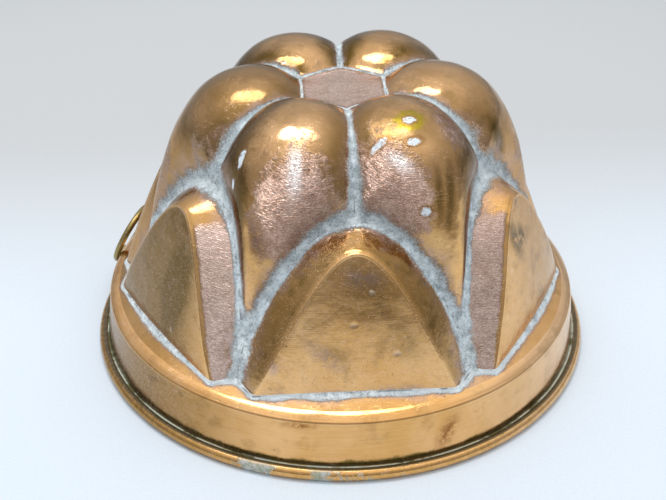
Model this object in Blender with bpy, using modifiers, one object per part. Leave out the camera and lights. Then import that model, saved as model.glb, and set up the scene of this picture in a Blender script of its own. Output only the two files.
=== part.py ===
"""Copper cake mould, standing on its rim: a lobed crown on a sloping ledge and a wired band.

Six lobes stand round a flat six-sided centre, with a pointed panel between each two lobes at the
foot. The crown's foot is lapped under the ledge of the skirt, the skirt's lower edge is rolled
over an iron wire, and a brass ring swings in a strap that two rivets hold to the band.

Origin: centre of the rim, in the plane that the rim stands on. +Z is up, and one pointed panel
faces -Y. Lengths are in metres, written as millimetres times MM.
"""

import math

import bmesh
import bpy
from mathutils import Matrix, Vector
from mathutils.geometry import interpolate_bezier

MM = 0.001

# Sheet, wire and clearances
SHEET = 1.0 * MM
CLEARANCE = 0.3 * MM
RIM_WIRE_RADIUS = 1.3 * MM

# Skirt: ledge, band and rolled rim
RIM_RADIUS = 110.0 * MM
BAND_FLARE = 2.7 * MM
SHOULDER_HEIGHT = 24.8 * MM
SHOULDER_BEND = 1.6 * MM
LEDGE_WIDTH = 4.4 * MM
LEDGE_SLOPE = math.radians(27.9)
FOOT_FLAT_HALF_ANGLE = math.radians(23.0)
ROLL_END_ANGLE = math.radians(112.0)
RIM_STEPS = 60

# Crown: the flat centre
LOBES = 6
CENTRE_CORNER_RADIUS = 20.3 * MM
CENTRE_HEIGHT = 116.3 * MM

# Crown: line along the top of each lobe, in the plane through the lobe's middle
CREST_RADIUS = 36.2 * MM
CREST_HEIGHT = 124.7 * MM
CREST_INNER_REACH = 13.5 * MM
CREST_OUTER_REACH = 26.2 * MM
TIP_RADIUS = 85.1 * MM
TIP_HEIGHT = 43.7 * MM
TIP_REACH = 62.3 * MM
TIP_LEAN = math.radians(8.6)

# Crown: line along the bottom of the valley between two lobes
SADDLE_RADIUS = 33.6 * MM
SADDLE_HEIGHT = 118.4 * MM
SADDLE_INNER_REACH = 4.7 * MM
SADDLE_OUTER_REACH = 15.5 * MM
VALLEY_FOOT_RADIUS = 61.0 * MM
VALLEY_FOOT_HEIGHT = 89.6 * MM
VALLEY_FOOT_REACH = 7.5 * MM
VALLEY_FOOT_LEAN = math.radians(19.5)

# Crown: how round a lobe is across, from the centre to its tip, as the angle its side turns by
LOBE_ROUNDNESS = [math.radians(angle) for angle in (60.0, 75.0, 80.0, 75.0, 60.0)]

# Crown: pointed panel, seen from the front as an arch that leans in
PANEL_HALF_ANGLE = math.radians(24.5)
PANEL_TOP_RADIUS = 77.4 * MM
PANEL_TOP_HEIGHT = 84.8 * MM
PANEL_BELLY = 3.3 * MM
PANEL_ARCH = 0.62
PANEL_LEAN_POWER = 1.5
CREASE_ARCH = 1.1
CREASE_LEAN_POWER = 1.3
GROOVE_SETBACK = 5.3 * MM
FOOT_LAP = 2.8 * MM

# Crown: how strongly the points of the arches crowd towards the panel's top, and how late the
# panel's face turns down to the cone of the foot
CREASE_CROWDING = 1.3
EDGE_CROWDING = 1.5
FOOT_TURN_POWER = 4

# Crown: faces along and across each half lobe and panel
VALLEY_ROWS = 5
CREASE_ROWS = 7
GROOVE_ROWS = 2
LOBE_COLUMNS = 5
PANEL_COLUMNS = 3

# Hanging ring, its strap and rivets
RING_AZIMUTH = math.radians(159.0)
RING_PIVOT_HEIGHT = 13.4 * MM
RING_RADIUS = 14.0 * MM
RING_WIRE_RADIUS = 1.5 * MM
EYE_RADIUS = 2.0 * MM
EYE_STANDOFF = 2.8 * MM
STRAP_THICKNESS = 1.0 * MM
STRAP_WIDTH = 6.4 * MM
STRAP_TAIL = 5.4 * MM
EYE_NECK = 0.6 * STRAP_THICKNESS
RIVET_SHANK_RADIUS = 1.1 * MM
RIVET_HEAD_RADIUS = 2.1 * MM
RIVET_HEAD_HEIGHT = 1.1 * MM
RIVET_TAIL_RADIUS = 1.8 * MM
RIVET_TAIL_END_RADIUS = 1.35 * MM
RIVET_TAIL_HEIGHT = 0.7 * MM

# Modelling
MERGE = 1e-6
SHARP_ANGLE = math.radians(35.0)
FIRST_PANEL_AZIMUTH = -math.pi / 2.0
RING_GAP_SAMPLES = 96
STEEPEST_RING_LEAN = math.radians(60.0)
RING_LEAN_HALVINGS = 24

# Sizes that follow from the ones above
HALF_LOBE = math.pi / LOBES
ROLL_INNER = RIM_WIRE_RADIUS + CLEARANCE
ROLL_OUTER = ROLL_INNER + SHEET
ROLL_RADIUS = RIM_RADIUS - ROLL_OUTER
ROLL_HEIGHT = ROLL_INNER * math.cos(FOOT_FLAT_HALF_ANGLE) + SHEET
BAND_FOOT_RADIUS = ROLL_RADIUS - ROLL_INNER
SHOULDER_RADIUS = BAND_FOOT_RADIUS - BAND_FLARE
LEDGE_INNER_RADIUS = SHOULDER_RADIUS - LEDGE_WIDTH
LEDGE_INNER_HEIGHT = SHOULDER_HEIGHT + (SHOULDER_RADIUS - LEDGE_INNER_RADIUS) * math.tan(LEDGE_SLOPE)
BAND_LEAN = math.atan2(BAND_FLARE, SHOULDER_HEIGHT - ROLL_HEIGHT)
LEDGE_HOLE_RADIUS = (LEDGE_INNER_RADIUS - SHEET * math.sin(LEDGE_SLOPE)) * math.cos(math.pi / RIM_STEPS)
PANEL_CORNER_RADIUS = LEDGE_HOLE_RADIUS - CLEARANCE
GROOVE_FOOT_RADIUS = LEDGE_INNER_RADIUS - GROOVE_SETBACK
FOOT_OUTER_RADIUS = LEDGE_INNER_RADIUS + FOOT_LAP


def on_azimuth(radius, azimuth, height):
    return Vector((radius * math.cos(azimuth), radius * math.sin(azimuth), height))


def new_collection(name):
    collection = bpy.data.collections.new(name)
    bpy.context.scene.collection.children.link(collection)
    return collection


def new_material(name, colour, roughness, metallic=1.0):
    material = bpy.data.materials.new(name)
    material.use_nodes = True
    shader = material.node_tree.nodes["Principled BSDF"]
    shader.inputs["Base Color"].default_value = (*colour, 1.0)
    shader.inputs["Roughness"].default_value = roughness
    shader.inputs["Metallic"].default_value = metallic
    material.diffuse_color = (*colour, 1.0)
    return material


def object_from_bmesh(name, bm, collection, material=None):
    mesh = bpy.data.meshes.new(name)
    bm.to_mesh(mesh)
    bm.free()
    obj = bpy.data.objects.new(name, mesh)
    collection.objects.link(obj)
    if material:
        mesh.materials.append(material)
        mesh.shade_smooth()
    return obj


def polyline(points):
    """An open line of edges in a new bmesh."""
    bm = bmesh.new()
    verts = [bm.verts.new(point) for point in points]
    for first, second in zip(verts, verts[1:]):
        bm.edges.new((first, second))
    return bm


def screw(obj, steps):
    turned = obj.modifiers.new("Screw", "SCREW")
    turned.axis = "Z"
    turned.steps = turned.render_steps = steps
    turned.use_merge_vertices = True
    turned.merge_threshold = MERGE


def solidify(obj, thickness, offset):
    wall = obj.modifiers.new("Solidify", "SOLIDIFY")
    wall.thickness = thickness
    wall.offset = offset
    wall.use_even_offset = True
    wall.use_quality_normals = True


def cut(obj, cutter):
    hole = obj.modifiers.new("Hole", "BOOLEAN")
    hole.operation = "DIFFERENCE"
    hole.solver = "EXACT"
    hole.object = cutter


def spaced(line, count):
    """The polyline resampled into count equal lengths."""
    lengths = [(b - a).length for a, b in zip(line, line[1:])]
    total, points = sum(lengths), [line[0]]
    for index in range(1, count):
        left, segment = total * index / count, 0
        while left > lengths[segment]:
            left -= lengths[segment]
            segment += 1
        points.append(line[segment].lerp(line[segment + 1], left / lengths[segment]))
    return points + [line[-1]]


def bezier(start, start_handle, end_handle, end, samples=40):
    return interpolate_bezier(start, start_handle, end_handle, end, samples)


# Crown. Its faces are lofted for half a lobe and half a panel, in the panel's own frame: X out
# through the middle of the panel, Y along it, Z up. The rest is mirrored and turned copies.


def foot_height(radius):
    """Height of the crown's foot, a cone that runs on under the ledge."""
    drop = (SHEET + CLEARANCE) / math.cos(LEDGE_SLOPE)
    return LEDGE_INNER_HEIGHT - drop + (LEDGE_INNER_RADIUS - radius) * math.tan(LEDGE_SLOPE)


def lobe_top_line(count):
    """Points from the flat centre over the crest of a lobe to its tip, in the lobe's plane."""
    start = Vector((CENTRE_CORNER_RADIUS * math.cos(HALF_LOBE), 0.0, CENTRE_HEIGHT))
    crest = Vector((CREST_RADIUS, 0.0, CREST_HEIGHT))
    tip = Vector((TIP_RADIUS, 0.0, TIP_HEIGHT))
    tip_handle = tip + TIP_REACH * Vector((-math.sin(TIP_LEAN), 0.0, math.cos(TIP_LEAN)))
    inner = bezier(start, start, crest - Vector((CREST_INNER_REACH, 0.0, 0.0)), crest)
    outer = bezier(crest, crest + Vector((CREST_OUTER_REACH, 0.0, 0.0)), tip_handle, tip)
    return spaced(inner + outer[1:], count)


def valley_line(count):
    """Points along the bottom of the valley, from the flat centre to the top of a panel."""
    start = Vector((CENTRE_CORNER_RADIUS, 0.0, CENTRE_HEIGHT))
    saddle = Vector((SADDLE_RADIUS, 0.0, SADDLE_HEIGHT))
    foot = Vector((VALLEY_FOOT_RADIUS, 0.0, VALLEY_FOOT_HEIGHT))
    lean = Vector((-math.sin(VALLEY_FOOT_LEAN), 0.0, math.cos(VALLEY_FOOT_LEAN)))
    inner = bezier(start, start, saddle - Vector((SADDLE_INNER_REACH, 0.0, 0.0)), saddle)
    outer = bezier(
        saddle, saddle + Vector((SADDLE_OUTER_REACH, 0.0, 0.0)), foot + VALLEY_FOOT_REACH * lean, foot
    )
    return spaced(inner + outer[1:], count)


def arch_point(down, top, foot, arch, lean_power):
    """A point on half an arch: down runs from 0 at its top to 1 at its foot."""
    across = math.sqrt(arch * down + (1.0 - arch) * down * down)
    return Vector((
        foot.x + (top.x - foot.x) * (1.0 - down) ** lean_power,
        foot.y * across,
        top.z + (foot.z - top.z) * down,
    ))


def crease_line(count):
    """Points where a panel's side meets the lobe, from the panel's top to the lobe's tip."""
    top = Vector((VALLEY_FOOT_RADIUS, 0.0, VALLEY_FOOT_HEIGHT))
    tip = on_azimuth(TIP_RADIUS, HALF_LOBE, TIP_HEIGHT)
    return [
        arch_point((index / count) ** CREASE_CROWDING, top, tip, CREASE_ARCH, CREASE_LEAN_POWER)
        for index in range(count + 1)
    ]


def groove_line(count):
    """Points down the groove between two panels, from the lobe's tip to the foot."""
    tip = on_azimuth(TIP_RADIUS, HALF_LOBE, TIP_HEIGHT)
    foot = on_azimuth(GROOVE_FOOT_RADIUS, HALF_LOBE, foot_height(GROOVE_FOOT_RADIUS))
    return [tip.lerp(foot, index / count) for index in range(count + 1)]


def panel_edge(count):
    """Points along the panel's sharp edge, from its top to its lower corner."""
    top = Vector((PANEL_TOP_RADIUS, 0.0, PANEL_TOP_HEIGHT))
    corner = on_azimuth(PANEL_CORNER_RADIUS, PANEL_HALF_ANGLE, foot_height(PANEL_CORNER_RADIUS))
    return [
        arch_point((index / count) ** EDGE_CROWDING, top, corner, PANEL_ARCH, PANEL_LEAN_POWER)
        for index in range(count + 1)
    ]


def roundness(along):
    """The angle that a lobe's side turns by, at a share of the way from the centre to the tip."""
    place = along * (len(LOBE_ROUNDNESS) - 1)
    index = min(int(place), len(LOBE_ROUNDNESS) - 2)
    share = place - index
    return LOBE_ROUNDNESS[index] * (1.0 - share) + LOBE_ROUNDNESS[index + 1] * share


def lobe_row(top, side, turn):
    """Points over half a lobe from its top line to the valley or crease, on part of an ellipse."""
    into_lobe = Matrix.Rotation(-HALF_LOBE, 4, "Z")
    side = into_lobe @ side
    points = []
    for column in range(LOBE_COLUMNS + 1):
        angle = turn * column / LOBE_COLUMNS
        across = math.sin(angle) / math.sin(turn)
        fall = (1.0 - math.cos(angle)) / (1.0 - math.cos(turn))
        point = top.lerp(side, fall)
        point.y = side.y * across
        points.append(into_lobe.inverted() @ point)
    return points


def panel_row(edge, down):
    """Points from the panel's middle to its edge, bellied out and ending on the foot's cone."""
    half_width = PANEL_CORNER_RADIUS * math.sin(PANEL_HALF_ANGLE)
    belly = PANEL_BELLY * (edge.y / half_width) ** 2
    points = []
    for column in range(PANEL_COLUMNS + 1):
        share = column / PANEL_COLUMNS
        point = Vector((edge.x + belly * (1.0 - share**2), edge.y * share, edge.z))
        radius = math.hypot(point.x, point.y)
        point.z += down**FOOT_TURN_POWER * (foot_height(radius) - foot_height(math.hypot(edge.x, edge.y)))
        points.append(point)
    return points


def panel_rows(count):
    """Rows of points over half a panel's face, from its top to its foot."""
    return [panel_row(edge, index / count) for index, edge in enumerate(panel_edge(count))]


def add_grid(bm, rows):
    """Quads between rows of points."""
    verts = [[bm.verts.new(point) for point in row] for row in rows]
    for upper, lower in zip(verts, verts[1:]):
        for column in range(len(upper) - 1):
            bm.faces.new((upper[column], upper[column + 1], lower[column + 1], lower[column]))


def crown_surface():
    """The crown's outer face as an open bmesh."""
    bm = bmesh.new()
    lobe_rows = VALLEY_ROWS + CREASE_ROWS
    crease = crease_line(CREASE_ROWS)
    side_line = valley_line(VALLEY_ROWS) + crease[1:]
    rows = [
        lobe_row(top, side, roundness(index / lobe_rows))
        for index, (top, side) in enumerate(zip(lobe_top_line(lobe_rows), side_line))
    ]
    add_grid(bm, [[Vector((0.0, 0.0, CENTRE_HEIGHT))] * len(rows[0])] + rows)

    inner_edge = crease + groove_line(GROOVE_ROWS)[1:]
    panel = panel_rows(len(inner_edge) - 1)
    add_grid(bm, [(row[-1], inner) for row, inner in zip(panel, inner_edge)])
    add_grid(bm, panel)

    foot_line = panel[-1] + [inner_edge[-1]]
    under_ledge = [
        on_azimuth(FOOT_OUTER_RADIUS, math.atan2(point.y, point.x), foot_height(FOOT_OUTER_RADIUS))
        for point in foot_line
    ]
    add_grid(bm, [foot_line, under_ledge])

    bmesh.ops.remove_doubles(bm, verts=bm.verts, dist=MERGE)
    bmesh.ops.mirror(bm, geom=bm.verts[:] + bm.edges[:] + bm.faces[:], merge_dist=MERGE, axis="Y")
    bmesh.ops.spin(
        bm,
        geom=bm.verts[:] + bm.edges[:] + bm.faces[:],
        axis=(0.0, 0.0, 1.0),
        angle=2.0 * math.pi * (LOBES - 1) / LOBES,
        steps=LOBES - 1,
        use_duplicate=True,
    )
    bmesh.ops.remove_doubles(bm, verts=bm.verts, dist=MERGE * 10.0)
    bmesh.ops.rotate(bm, verts=bm.verts, matrix=Matrix.Rotation(FIRST_PANEL_AZIMUTH, 3, "Z"))
    bmesh.ops.recalc_face_normals(bm, faces=bm.faces)
    top = max(bm.faces, key=lambda face: face.calc_center_median().z)
    if top.normal.z < 0.0:
        bmesh.ops.reverse_faces(bm, faces=bm.faces)
    return bm


def make_crown(collection, material):
    crown = object_from_bmesh("crown", crown_surface(), collection, material)
    solidify(crown, SHEET, -1.0)
    crown.data.set_sharp_from_angle(angle=SHARP_ANGLE)
    return crown


# Skirt and rim wire


def skirt_outline():
    """The face of the sheet that looks outwards and then, in the roll, at the wire: top to bottom."""
    ledge_normal = Vector((math.sin(LEDGE_SLOPE), 0.0, math.cos(LEDGE_SLOPE)))
    band_normal = Vector((math.cos(BAND_LEAN), 0.0, math.sin(BAND_LEAN)))
    corner = Vector((SHOULDER_RADIUS, 0.0, SHOULDER_HEIGHT))
    between = (ledge_normal + band_normal) / (1.0 + ledge_normal.dot(band_normal))
    bend_centre = corner - SHOULDER_BEND * between
    shoulder = [
        bend_centre + SHOULDER_BEND * ledge_normal,
        bend_centre + SHOULDER_BEND * (ledge_normal + band_normal).normalized(),
        bend_centre + SHOULDER_BEND * band_normal,
    ]
    ledge_top = Vector((LEDGE_INNER_RADIUS, 0.0, LEDGE_INNER_HEIGHT))
    flat_start = 1.5 * math.pi - FOOT_FLAT_HALF_ANGLE
    flat_end = 1.5 * math.pi + FOOT_FLAT_HALF_ANGLE
    full_turn = 2.0 * math.pi
    turns = [math.pi, (math.pi + flat_start) / 2.0, flat_start, flat_end, (flat_end + full_turn) / 2.0]
    turns += [full_turn + ROLL_END_ANGLE * index / 4 for index in range(5)]
    roll = [
        Vector((ROLL_RADIUS + ROLL_INNER * math.cos(turn), 0.0, ROLL_HEIGHT + ROLL_INNER * math.sin(turn)))
        for turn in turns
    ]
    return [ledge_top, *shoulder, *roll]


def make_skirt(collection, material):
    skirt = object_from_bmesh("skirt", polyline(skirt_outline()), collection, material)
    screw(skirt, RIM_STEPS)
    solidify(skirt, SHEET, -1.0)
    return skirt


def make_rim_wire(collection, material):
    bpy.ops.mesh.primitive_torus_add(
        major_radius=ROLL_RADIUS,
        minor_radius=RIM_WIRE_RADIUS,
        major_segments=RIM_STEPS,
        minor_segments=8,
        location=(0.0, 0.0, ROLL_HEIGHT),
    )
    return adopt("rim_wire", collection, material)


def adopt(name, collection, material):
    """Names the object that an operator has just made, and moves it to a collection."""
    obj = bpy.context.active_object
    obj.name = obj.data.name = name
    for old in obj.users_collection:
        old.objects.unlink(obj)
    collection.objects.link(obj)
    obj.data.materials.append(material)
    obj.data.shade_smooth()
    return obj


# Hanging ring, strap and rivets. The strap and rivets are made in the strap's own frame: X out
# of the band, Y along the rim, Z up the band, with the origin on the ring's hinge axis.


def pivot_radius():
    """Distance of the hinge axis from the mould's axis."""
    band_radius = BAND_FOOT_RADIUS - (RING_PIVOT_HEIGHT - ROLL_HEIGHT) * math.tan(BAND_LEAN)
    return band_radius + pivot_standoff() / math.cos(BAND_LEAN)


def pivot_standoff():
    """Distance of the hinge axis from the band's outer face."""
    return CLEARANCE + EYE_STANDOFF + RING_WIRE_RADIUS


def distance_outside(point, outline):
    """Distance of a point from a convex outline that runs down its outer side, negative within it."""
    nearest, outside = math.inf, False
    for start, end in zip(outline, outline[1:]):
        along = end - start
        share = min(max((point - start).dot(along) / along.length_squared, 0.0), 1.0)
        nearest = min(nearest, (point - start - share * along).length)
        outside = outside or (point - start).dot(Vector((-along.z, 0.0, along.x))) > 0.0
    return nearest if outside else -nearest


def ring_gap(lean):
    """Gap from the ring's wire to the skirt and to the nearest panel, with the ring leaning inwards."""
    ledge_and_band = skirt_outline()[:5]
    panel_middle = [row[0] for row in panel_rows(CREASE_ROWS + GROOVE_ROWS)]
    off_panel = math.remainder(RING_AZIMUTH - FIRST_PANEL_AZIMUTH, 2.0 * HALF_LOBE)
    gaps = []
    for step in range(RING_GAP_SAMPLES):
        turn = 2.0 * math.pi * step / RING_GAP_SAMPLES
        along = RING_RADIUS * (1.0 - math.cos(turn))
        out, aside = pivot_radius() - along * math.sin(lean), RING_RADIUS * math.sin(turn)
        height = RING_PIVOT_HEIGHT + along * math.cos(lean)
        from_axis = Vector((math.hypot(out, aside), 0.0, height))
        from_panel = Vector((out * math.cos(off_panel) - aside * math.sin(off_panel), 0.0, height))
        gaps.append(distance_outside(from_axis, ledge_and_band) - RING_WIRE_RADIUS)
        gaps.append(distance_outside(from_panel, panel_middle) - RING_WIRE_RADIUS)
    return min(gaps)


def ring_rest_lean():
    """The angle from upright at which the ring comes to rest on the edge of the shoulder."""
    free, touching = 0.0, STEEPEST_RING_LEAN
    for _ in range(RING_LEAN_HALVINGS):
        middle = (free + touching) / 2.0
        if ring_gap(middle) > CLEARANCE:
            free = middle
        else:
            touching = middle
    return free


def make_empty(name, location, turn, collection):
    empty = bpy.data.objects.new(name, None)
    empty.empty_display_size = 10.0 * MM
    empty.matrix_world = Matrix.Translation(location) @ turn.to_4x4()
    collection.objects.link(empty)
    return empty


def strap_outline():
    """The face of the strap that looks at the band and round the ring's wire."""
    back = CLEARANCE - pivot_standoff()
    neck = [(back, -EYE_RADIUS - EYE_NECK), (back + EYE_NECK, -EYE_RADIUS)]
    lower = [(back, -EYE_RADIUS - STRAP_TAIL), *neck]
    eye = [
        (EYE_RADIUS * math.sin(math.pi * step / 8), -EYE_RADIUS * math.cos(math.pi * step / 8))
        for step in range(9)
    ]
    upper = [(out, -up) for out, up in reversed(lower)]
    return [Vector((out, 0.0, up)) for out, up in lower + eye + upper]


def make_strap(frame, collection, material):
    bm = polyline(strap_outline())
    grown = bmesh.ops.extrude_edge_only(bm, edges=bm.edges[:])["geom"]
    moved = [item for item in grown if isinstance(item, bmesh.types.BMVert)]
    bmesh.ops.translate(bm, verts=moved, vec=(0.0, STRAP_WIDTH, 0.0))
    bmesh.ops.translate(bm, verts=bm.verts, vec=(0.0, -STRAP_WIDTH / 2.0, 0.0))
    bmesh.ops.recalc_face_normals(bm, faces=bm.faces)
    crown_face = max(bm.faces, key=lambda face: face.calc_center_median().x)
    if crown_face.normal.x < 0.0:
        bmesh.ops.reverse_faces(bm, faces=bm.faces)
    strap = object_from_bmesh("ring_strap", bm, collection, material)
    strap.parent = frame
    solidify(strap, STRAP_THICKNESS, 1.0)
    return strap


def rivet_place():
    """Distance of each rivet from the hinge axis, along the band."""
    return EYE_RADIUS + STRAP_THICKNESS + (STRAP_TAIL - STRAP_THICKNESS) / 2.0


def rivet_levels():
    """Heights along a rivet's own axis: under its head, band's inner face and end of its tail."""
    strap_face = CLEARANCE + STRAP_THICKNESS - pivot_standoff()
    inner_face = -pivot_standoff() - SHEET
    return strap_face + CLEARANCE, inner_face - CLEARANCE, inner_face - CLEARANCE - RIVET_TAIL_HEIGHT


def make_rivet(name, up, frame, collection, material):
    head, tail, end = rivet_levels()
    dome = [
        (RIVET_HEAD_RADIUS * math.sin(turn), head + RIVET_HEAD_HEIGHT * math.cos(turn))
        for turn in (0.0, 0.5, 1.0, math.pi / 2.0)
    ]
    shank = [(RIVET_SHANK_RADIUS, head), (RIVET_SHANK_RADIUS, tail)]
    peened = [(RIVET_TAIL_RADIUS, tail), (RIVET_TAIL_END_RADIUS, end), (0.0, end)]
    bm = polyline([Vector((radius, 0.0, level)) for radius, level in dome + shank + peened])
    rivet = object_from_bmesh(name, bm, collection, material)
    screw(rivet, 12)
    rivet.parent = frame
    rivet.location = (0.0, 0.0, up)
    rivet.rotation_euler = (0.0, math.pi / 2.0, 0.0)
    return rivet


def make_rivet_hole(name, up, frame, collection):
    head, _, end = rivet_levels()
    bm = bmesh.new()
    bmesh.ops.create_cone(
        bm,
        cap_ends=True,
        segments=12,
        radius1=RIVET_SHANK_RADIUS + CLEARANCE,
        radius2=RIVET_SHANK_RADIUS + CLEARANCE,
        depth=2.0 * (head - end),
        matrix=Matrix.Translation(((head + end) / 2.0, 0.0, up)) @ Matrix.Rotation(math.pi / 2.0, 4, "Y"),
    )
    cutter = object_from_bmesh(name, bm, collection)
    cutter.parent = frame
    cutter.hide_render = True
    cutter.display_type = "WIRE"
    return cutter


def make_ring(pivot, collection, material):
    bpy.ops.mesh.primitive_torus_add(
        major_radius=RING_RADIUS, minor_radius=RING_WIRE_RADIUS, major_segments=40, minor_segments=8
    )
    ring = adopt("hanging_ring", collection, material)
    ring.data.transform(
        Matrix.Translation((0.0, 0.0, RING_RADIUS)) @ Matrix.Rotation(math.pi / 2.0, 4, "Y")
    )
    ring.parent = pivot
    return ring


def main():
    for old in list(bpy.data.objects):
        bpy.data.objects.remove(old)
    parts = new_collection("cake_mould")
    cutters = new_collection("cutters")
    copper = new_material("copper", (0.62, 0.33, 0.15), 0.28)
    copper_band = new_material("copper_band", (0.66, 0.35, 0.17), 0.3)
    iron = new_material("iron_wire", (0.22, 0.2, 0.19), 0.6)
    brass = new_material("brass", (0.55, 0.42, 0.16), 0.32)

    make_crown(parts, copper)
    skirt = make_skirt(parts, copper_band)
    make_rim_wire(parts, iron)

    hinge_place = on_azimuth(pivot_radius(), RING_AZIMUTH, RING_PIVOT_HEIGHT)
    outwards = Matrix.Rotation(RING_AZIMUTH, 3, "Z")
    strap_frame = make_empty(
        "strap_frame", hinge_place, outwards @ Matrix.Rotation(-BAND_LEAN, 3, "Y"), parts
    )
    ring_pivot = make_empty(
        "ring_pivot", hinge_place, outwards @ Matrix.Rotation(-ring_rest_lean(), 3, "Y"), parts
    )
    strap = make_strap(strap_frame, parts, brass)
    for name, up in (("upper", rivet_place()), ("lower", -rivet_place())):
        make_rivet(f"strap_rivet_{name}", up, strap_frame, parts, brass)
        hole = make_rivet_hole(f"rivet_hole_{name}", up, strap_frame, cutters)
        cut(strap, hole)
        cut(skirt, hole)
    make_ring(ring_pivot, parts, brass)


main()
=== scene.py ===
"""Finished look of an old copper cake mould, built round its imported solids.

The mould stands on its rim with one pointed panel facing -Y and the brass ring near -X. The copper
crown and skirt, the braze between them, the strap, its rivets and the ring are modelled here in
full detail over the solids that they stand for. Lengths are metres, written as millimetres times
MM, and colours are linear.
"""

from __future__ import annotations

import logging
import math
from bisect import bisect_right
from collections.abc import Callable, Sequence
from dataclasses import dataclass, field
from enum import Enum
from functools import reduce

import bmesh
import bpy
from mathutils import Matrix, Vector, noise
from mathutils.geometry import interpolate_bezier
from mathutils.kdtree import KDTree

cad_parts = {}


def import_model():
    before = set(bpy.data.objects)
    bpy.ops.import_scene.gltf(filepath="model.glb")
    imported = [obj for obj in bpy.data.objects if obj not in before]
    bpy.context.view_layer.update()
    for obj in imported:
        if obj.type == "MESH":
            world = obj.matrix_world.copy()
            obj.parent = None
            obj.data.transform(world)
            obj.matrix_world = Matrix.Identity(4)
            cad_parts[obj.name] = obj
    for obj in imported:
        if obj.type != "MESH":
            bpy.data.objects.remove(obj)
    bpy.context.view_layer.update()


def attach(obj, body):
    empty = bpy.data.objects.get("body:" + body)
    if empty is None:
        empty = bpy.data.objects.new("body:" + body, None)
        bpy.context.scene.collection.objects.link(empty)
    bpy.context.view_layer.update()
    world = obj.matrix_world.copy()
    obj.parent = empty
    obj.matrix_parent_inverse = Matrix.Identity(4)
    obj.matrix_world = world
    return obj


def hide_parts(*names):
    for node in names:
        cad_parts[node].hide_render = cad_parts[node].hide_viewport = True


LOG = logging.getLogger("cake_mould")
MM = 0.001
MERGE = 1e-6

UP = Vector((0.0, 0.0, 1.0))
FULL_TURN = 2.0 * math.pi
Triple = tuple[float, float, float]
Colour = Triple
Place = Callable[[float, float], Vector]


class Body(Enum):
    """The two bodies that pieces ride on."""

    MOULD = "mould"
    RING = "ring"


class Mark(Enum):
    """Values stored at each point of a mesh for its material to read."""

    CREASE_AWAY = "crease_away"
    CREASE_ALONG = "crease_along"
    CREASE_WIDTH = "crease_width"
    EDGE_AWAY = "edge_away"
    PANEL_FACE = "panel_face"
    PANEL_SIDE = "panel_side"
    CENTRE = "centre"
    FLANK = "flank"
    SCOURED = "scoured"


def smooth_step(value: float, start: float, end: float) -> float:
    """Eases from 0 at start to 1 at end.

    Args:
        value: The place between start and end.
        start: Where the result leaves 0.
        end: Where the result reaches 1.

    Returns:
        A share from 0 to 1.
    """
    share = min(max((value - start) / (end - start), 0.0), 1.0)
    return share * share * (3.0 - 2.0 * share)


def on_azimuth(radius: float, azimuth: float, height: float) -> Vector:
    """The point at that radius and height, azimuth radians round from +X."""
    return Vector((radius * math.cos(azimuth), radius * math.sin(azimuth), height))


def even_shares(steps: int) -> list[float]:
    """Even shares from 0 to 1, both ends included."""
    return [step / steps for step in range(steps + 1)]


class Course:
    """A line of points that can be read at any share of its length."""

    def __init__(self, points: Sequence[Vector]) -> None:
        """Measures the line.

        Args:
            points: The line's points, in order.
        """
        self.points = list(points)
        self.lengths = [0.0]
        for start, end in zip(self.points, self.points[1:]):
            self.lengths.append(self.lengths[-1] + (end - start).length)

    def at(self, share: float) -> Vector:
        """The point at that share of the length, from 0 to 1."""
        target = share * self.lengths[-1]
        index = min(bisect_right(self.lengths, target), len(self.points) - 1)
        span = self.lengths[index] - self.lengths[index - 1]
        return self.points[index - 1].lerp(self.points[index], (target - self.lengths[index - 1]) / span)


def curve(*handles: Vector, samples: int = 80) -> list[Vector]:
    """The points of one cubic Bezier curve.

    Args:
        handles: Start, its handle, the end's handle and the end.
        samples: How many points to read.

    Returns:
        The points from start to end.
    """
    return list(interpolate_bezier(*handles, samples))


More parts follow.
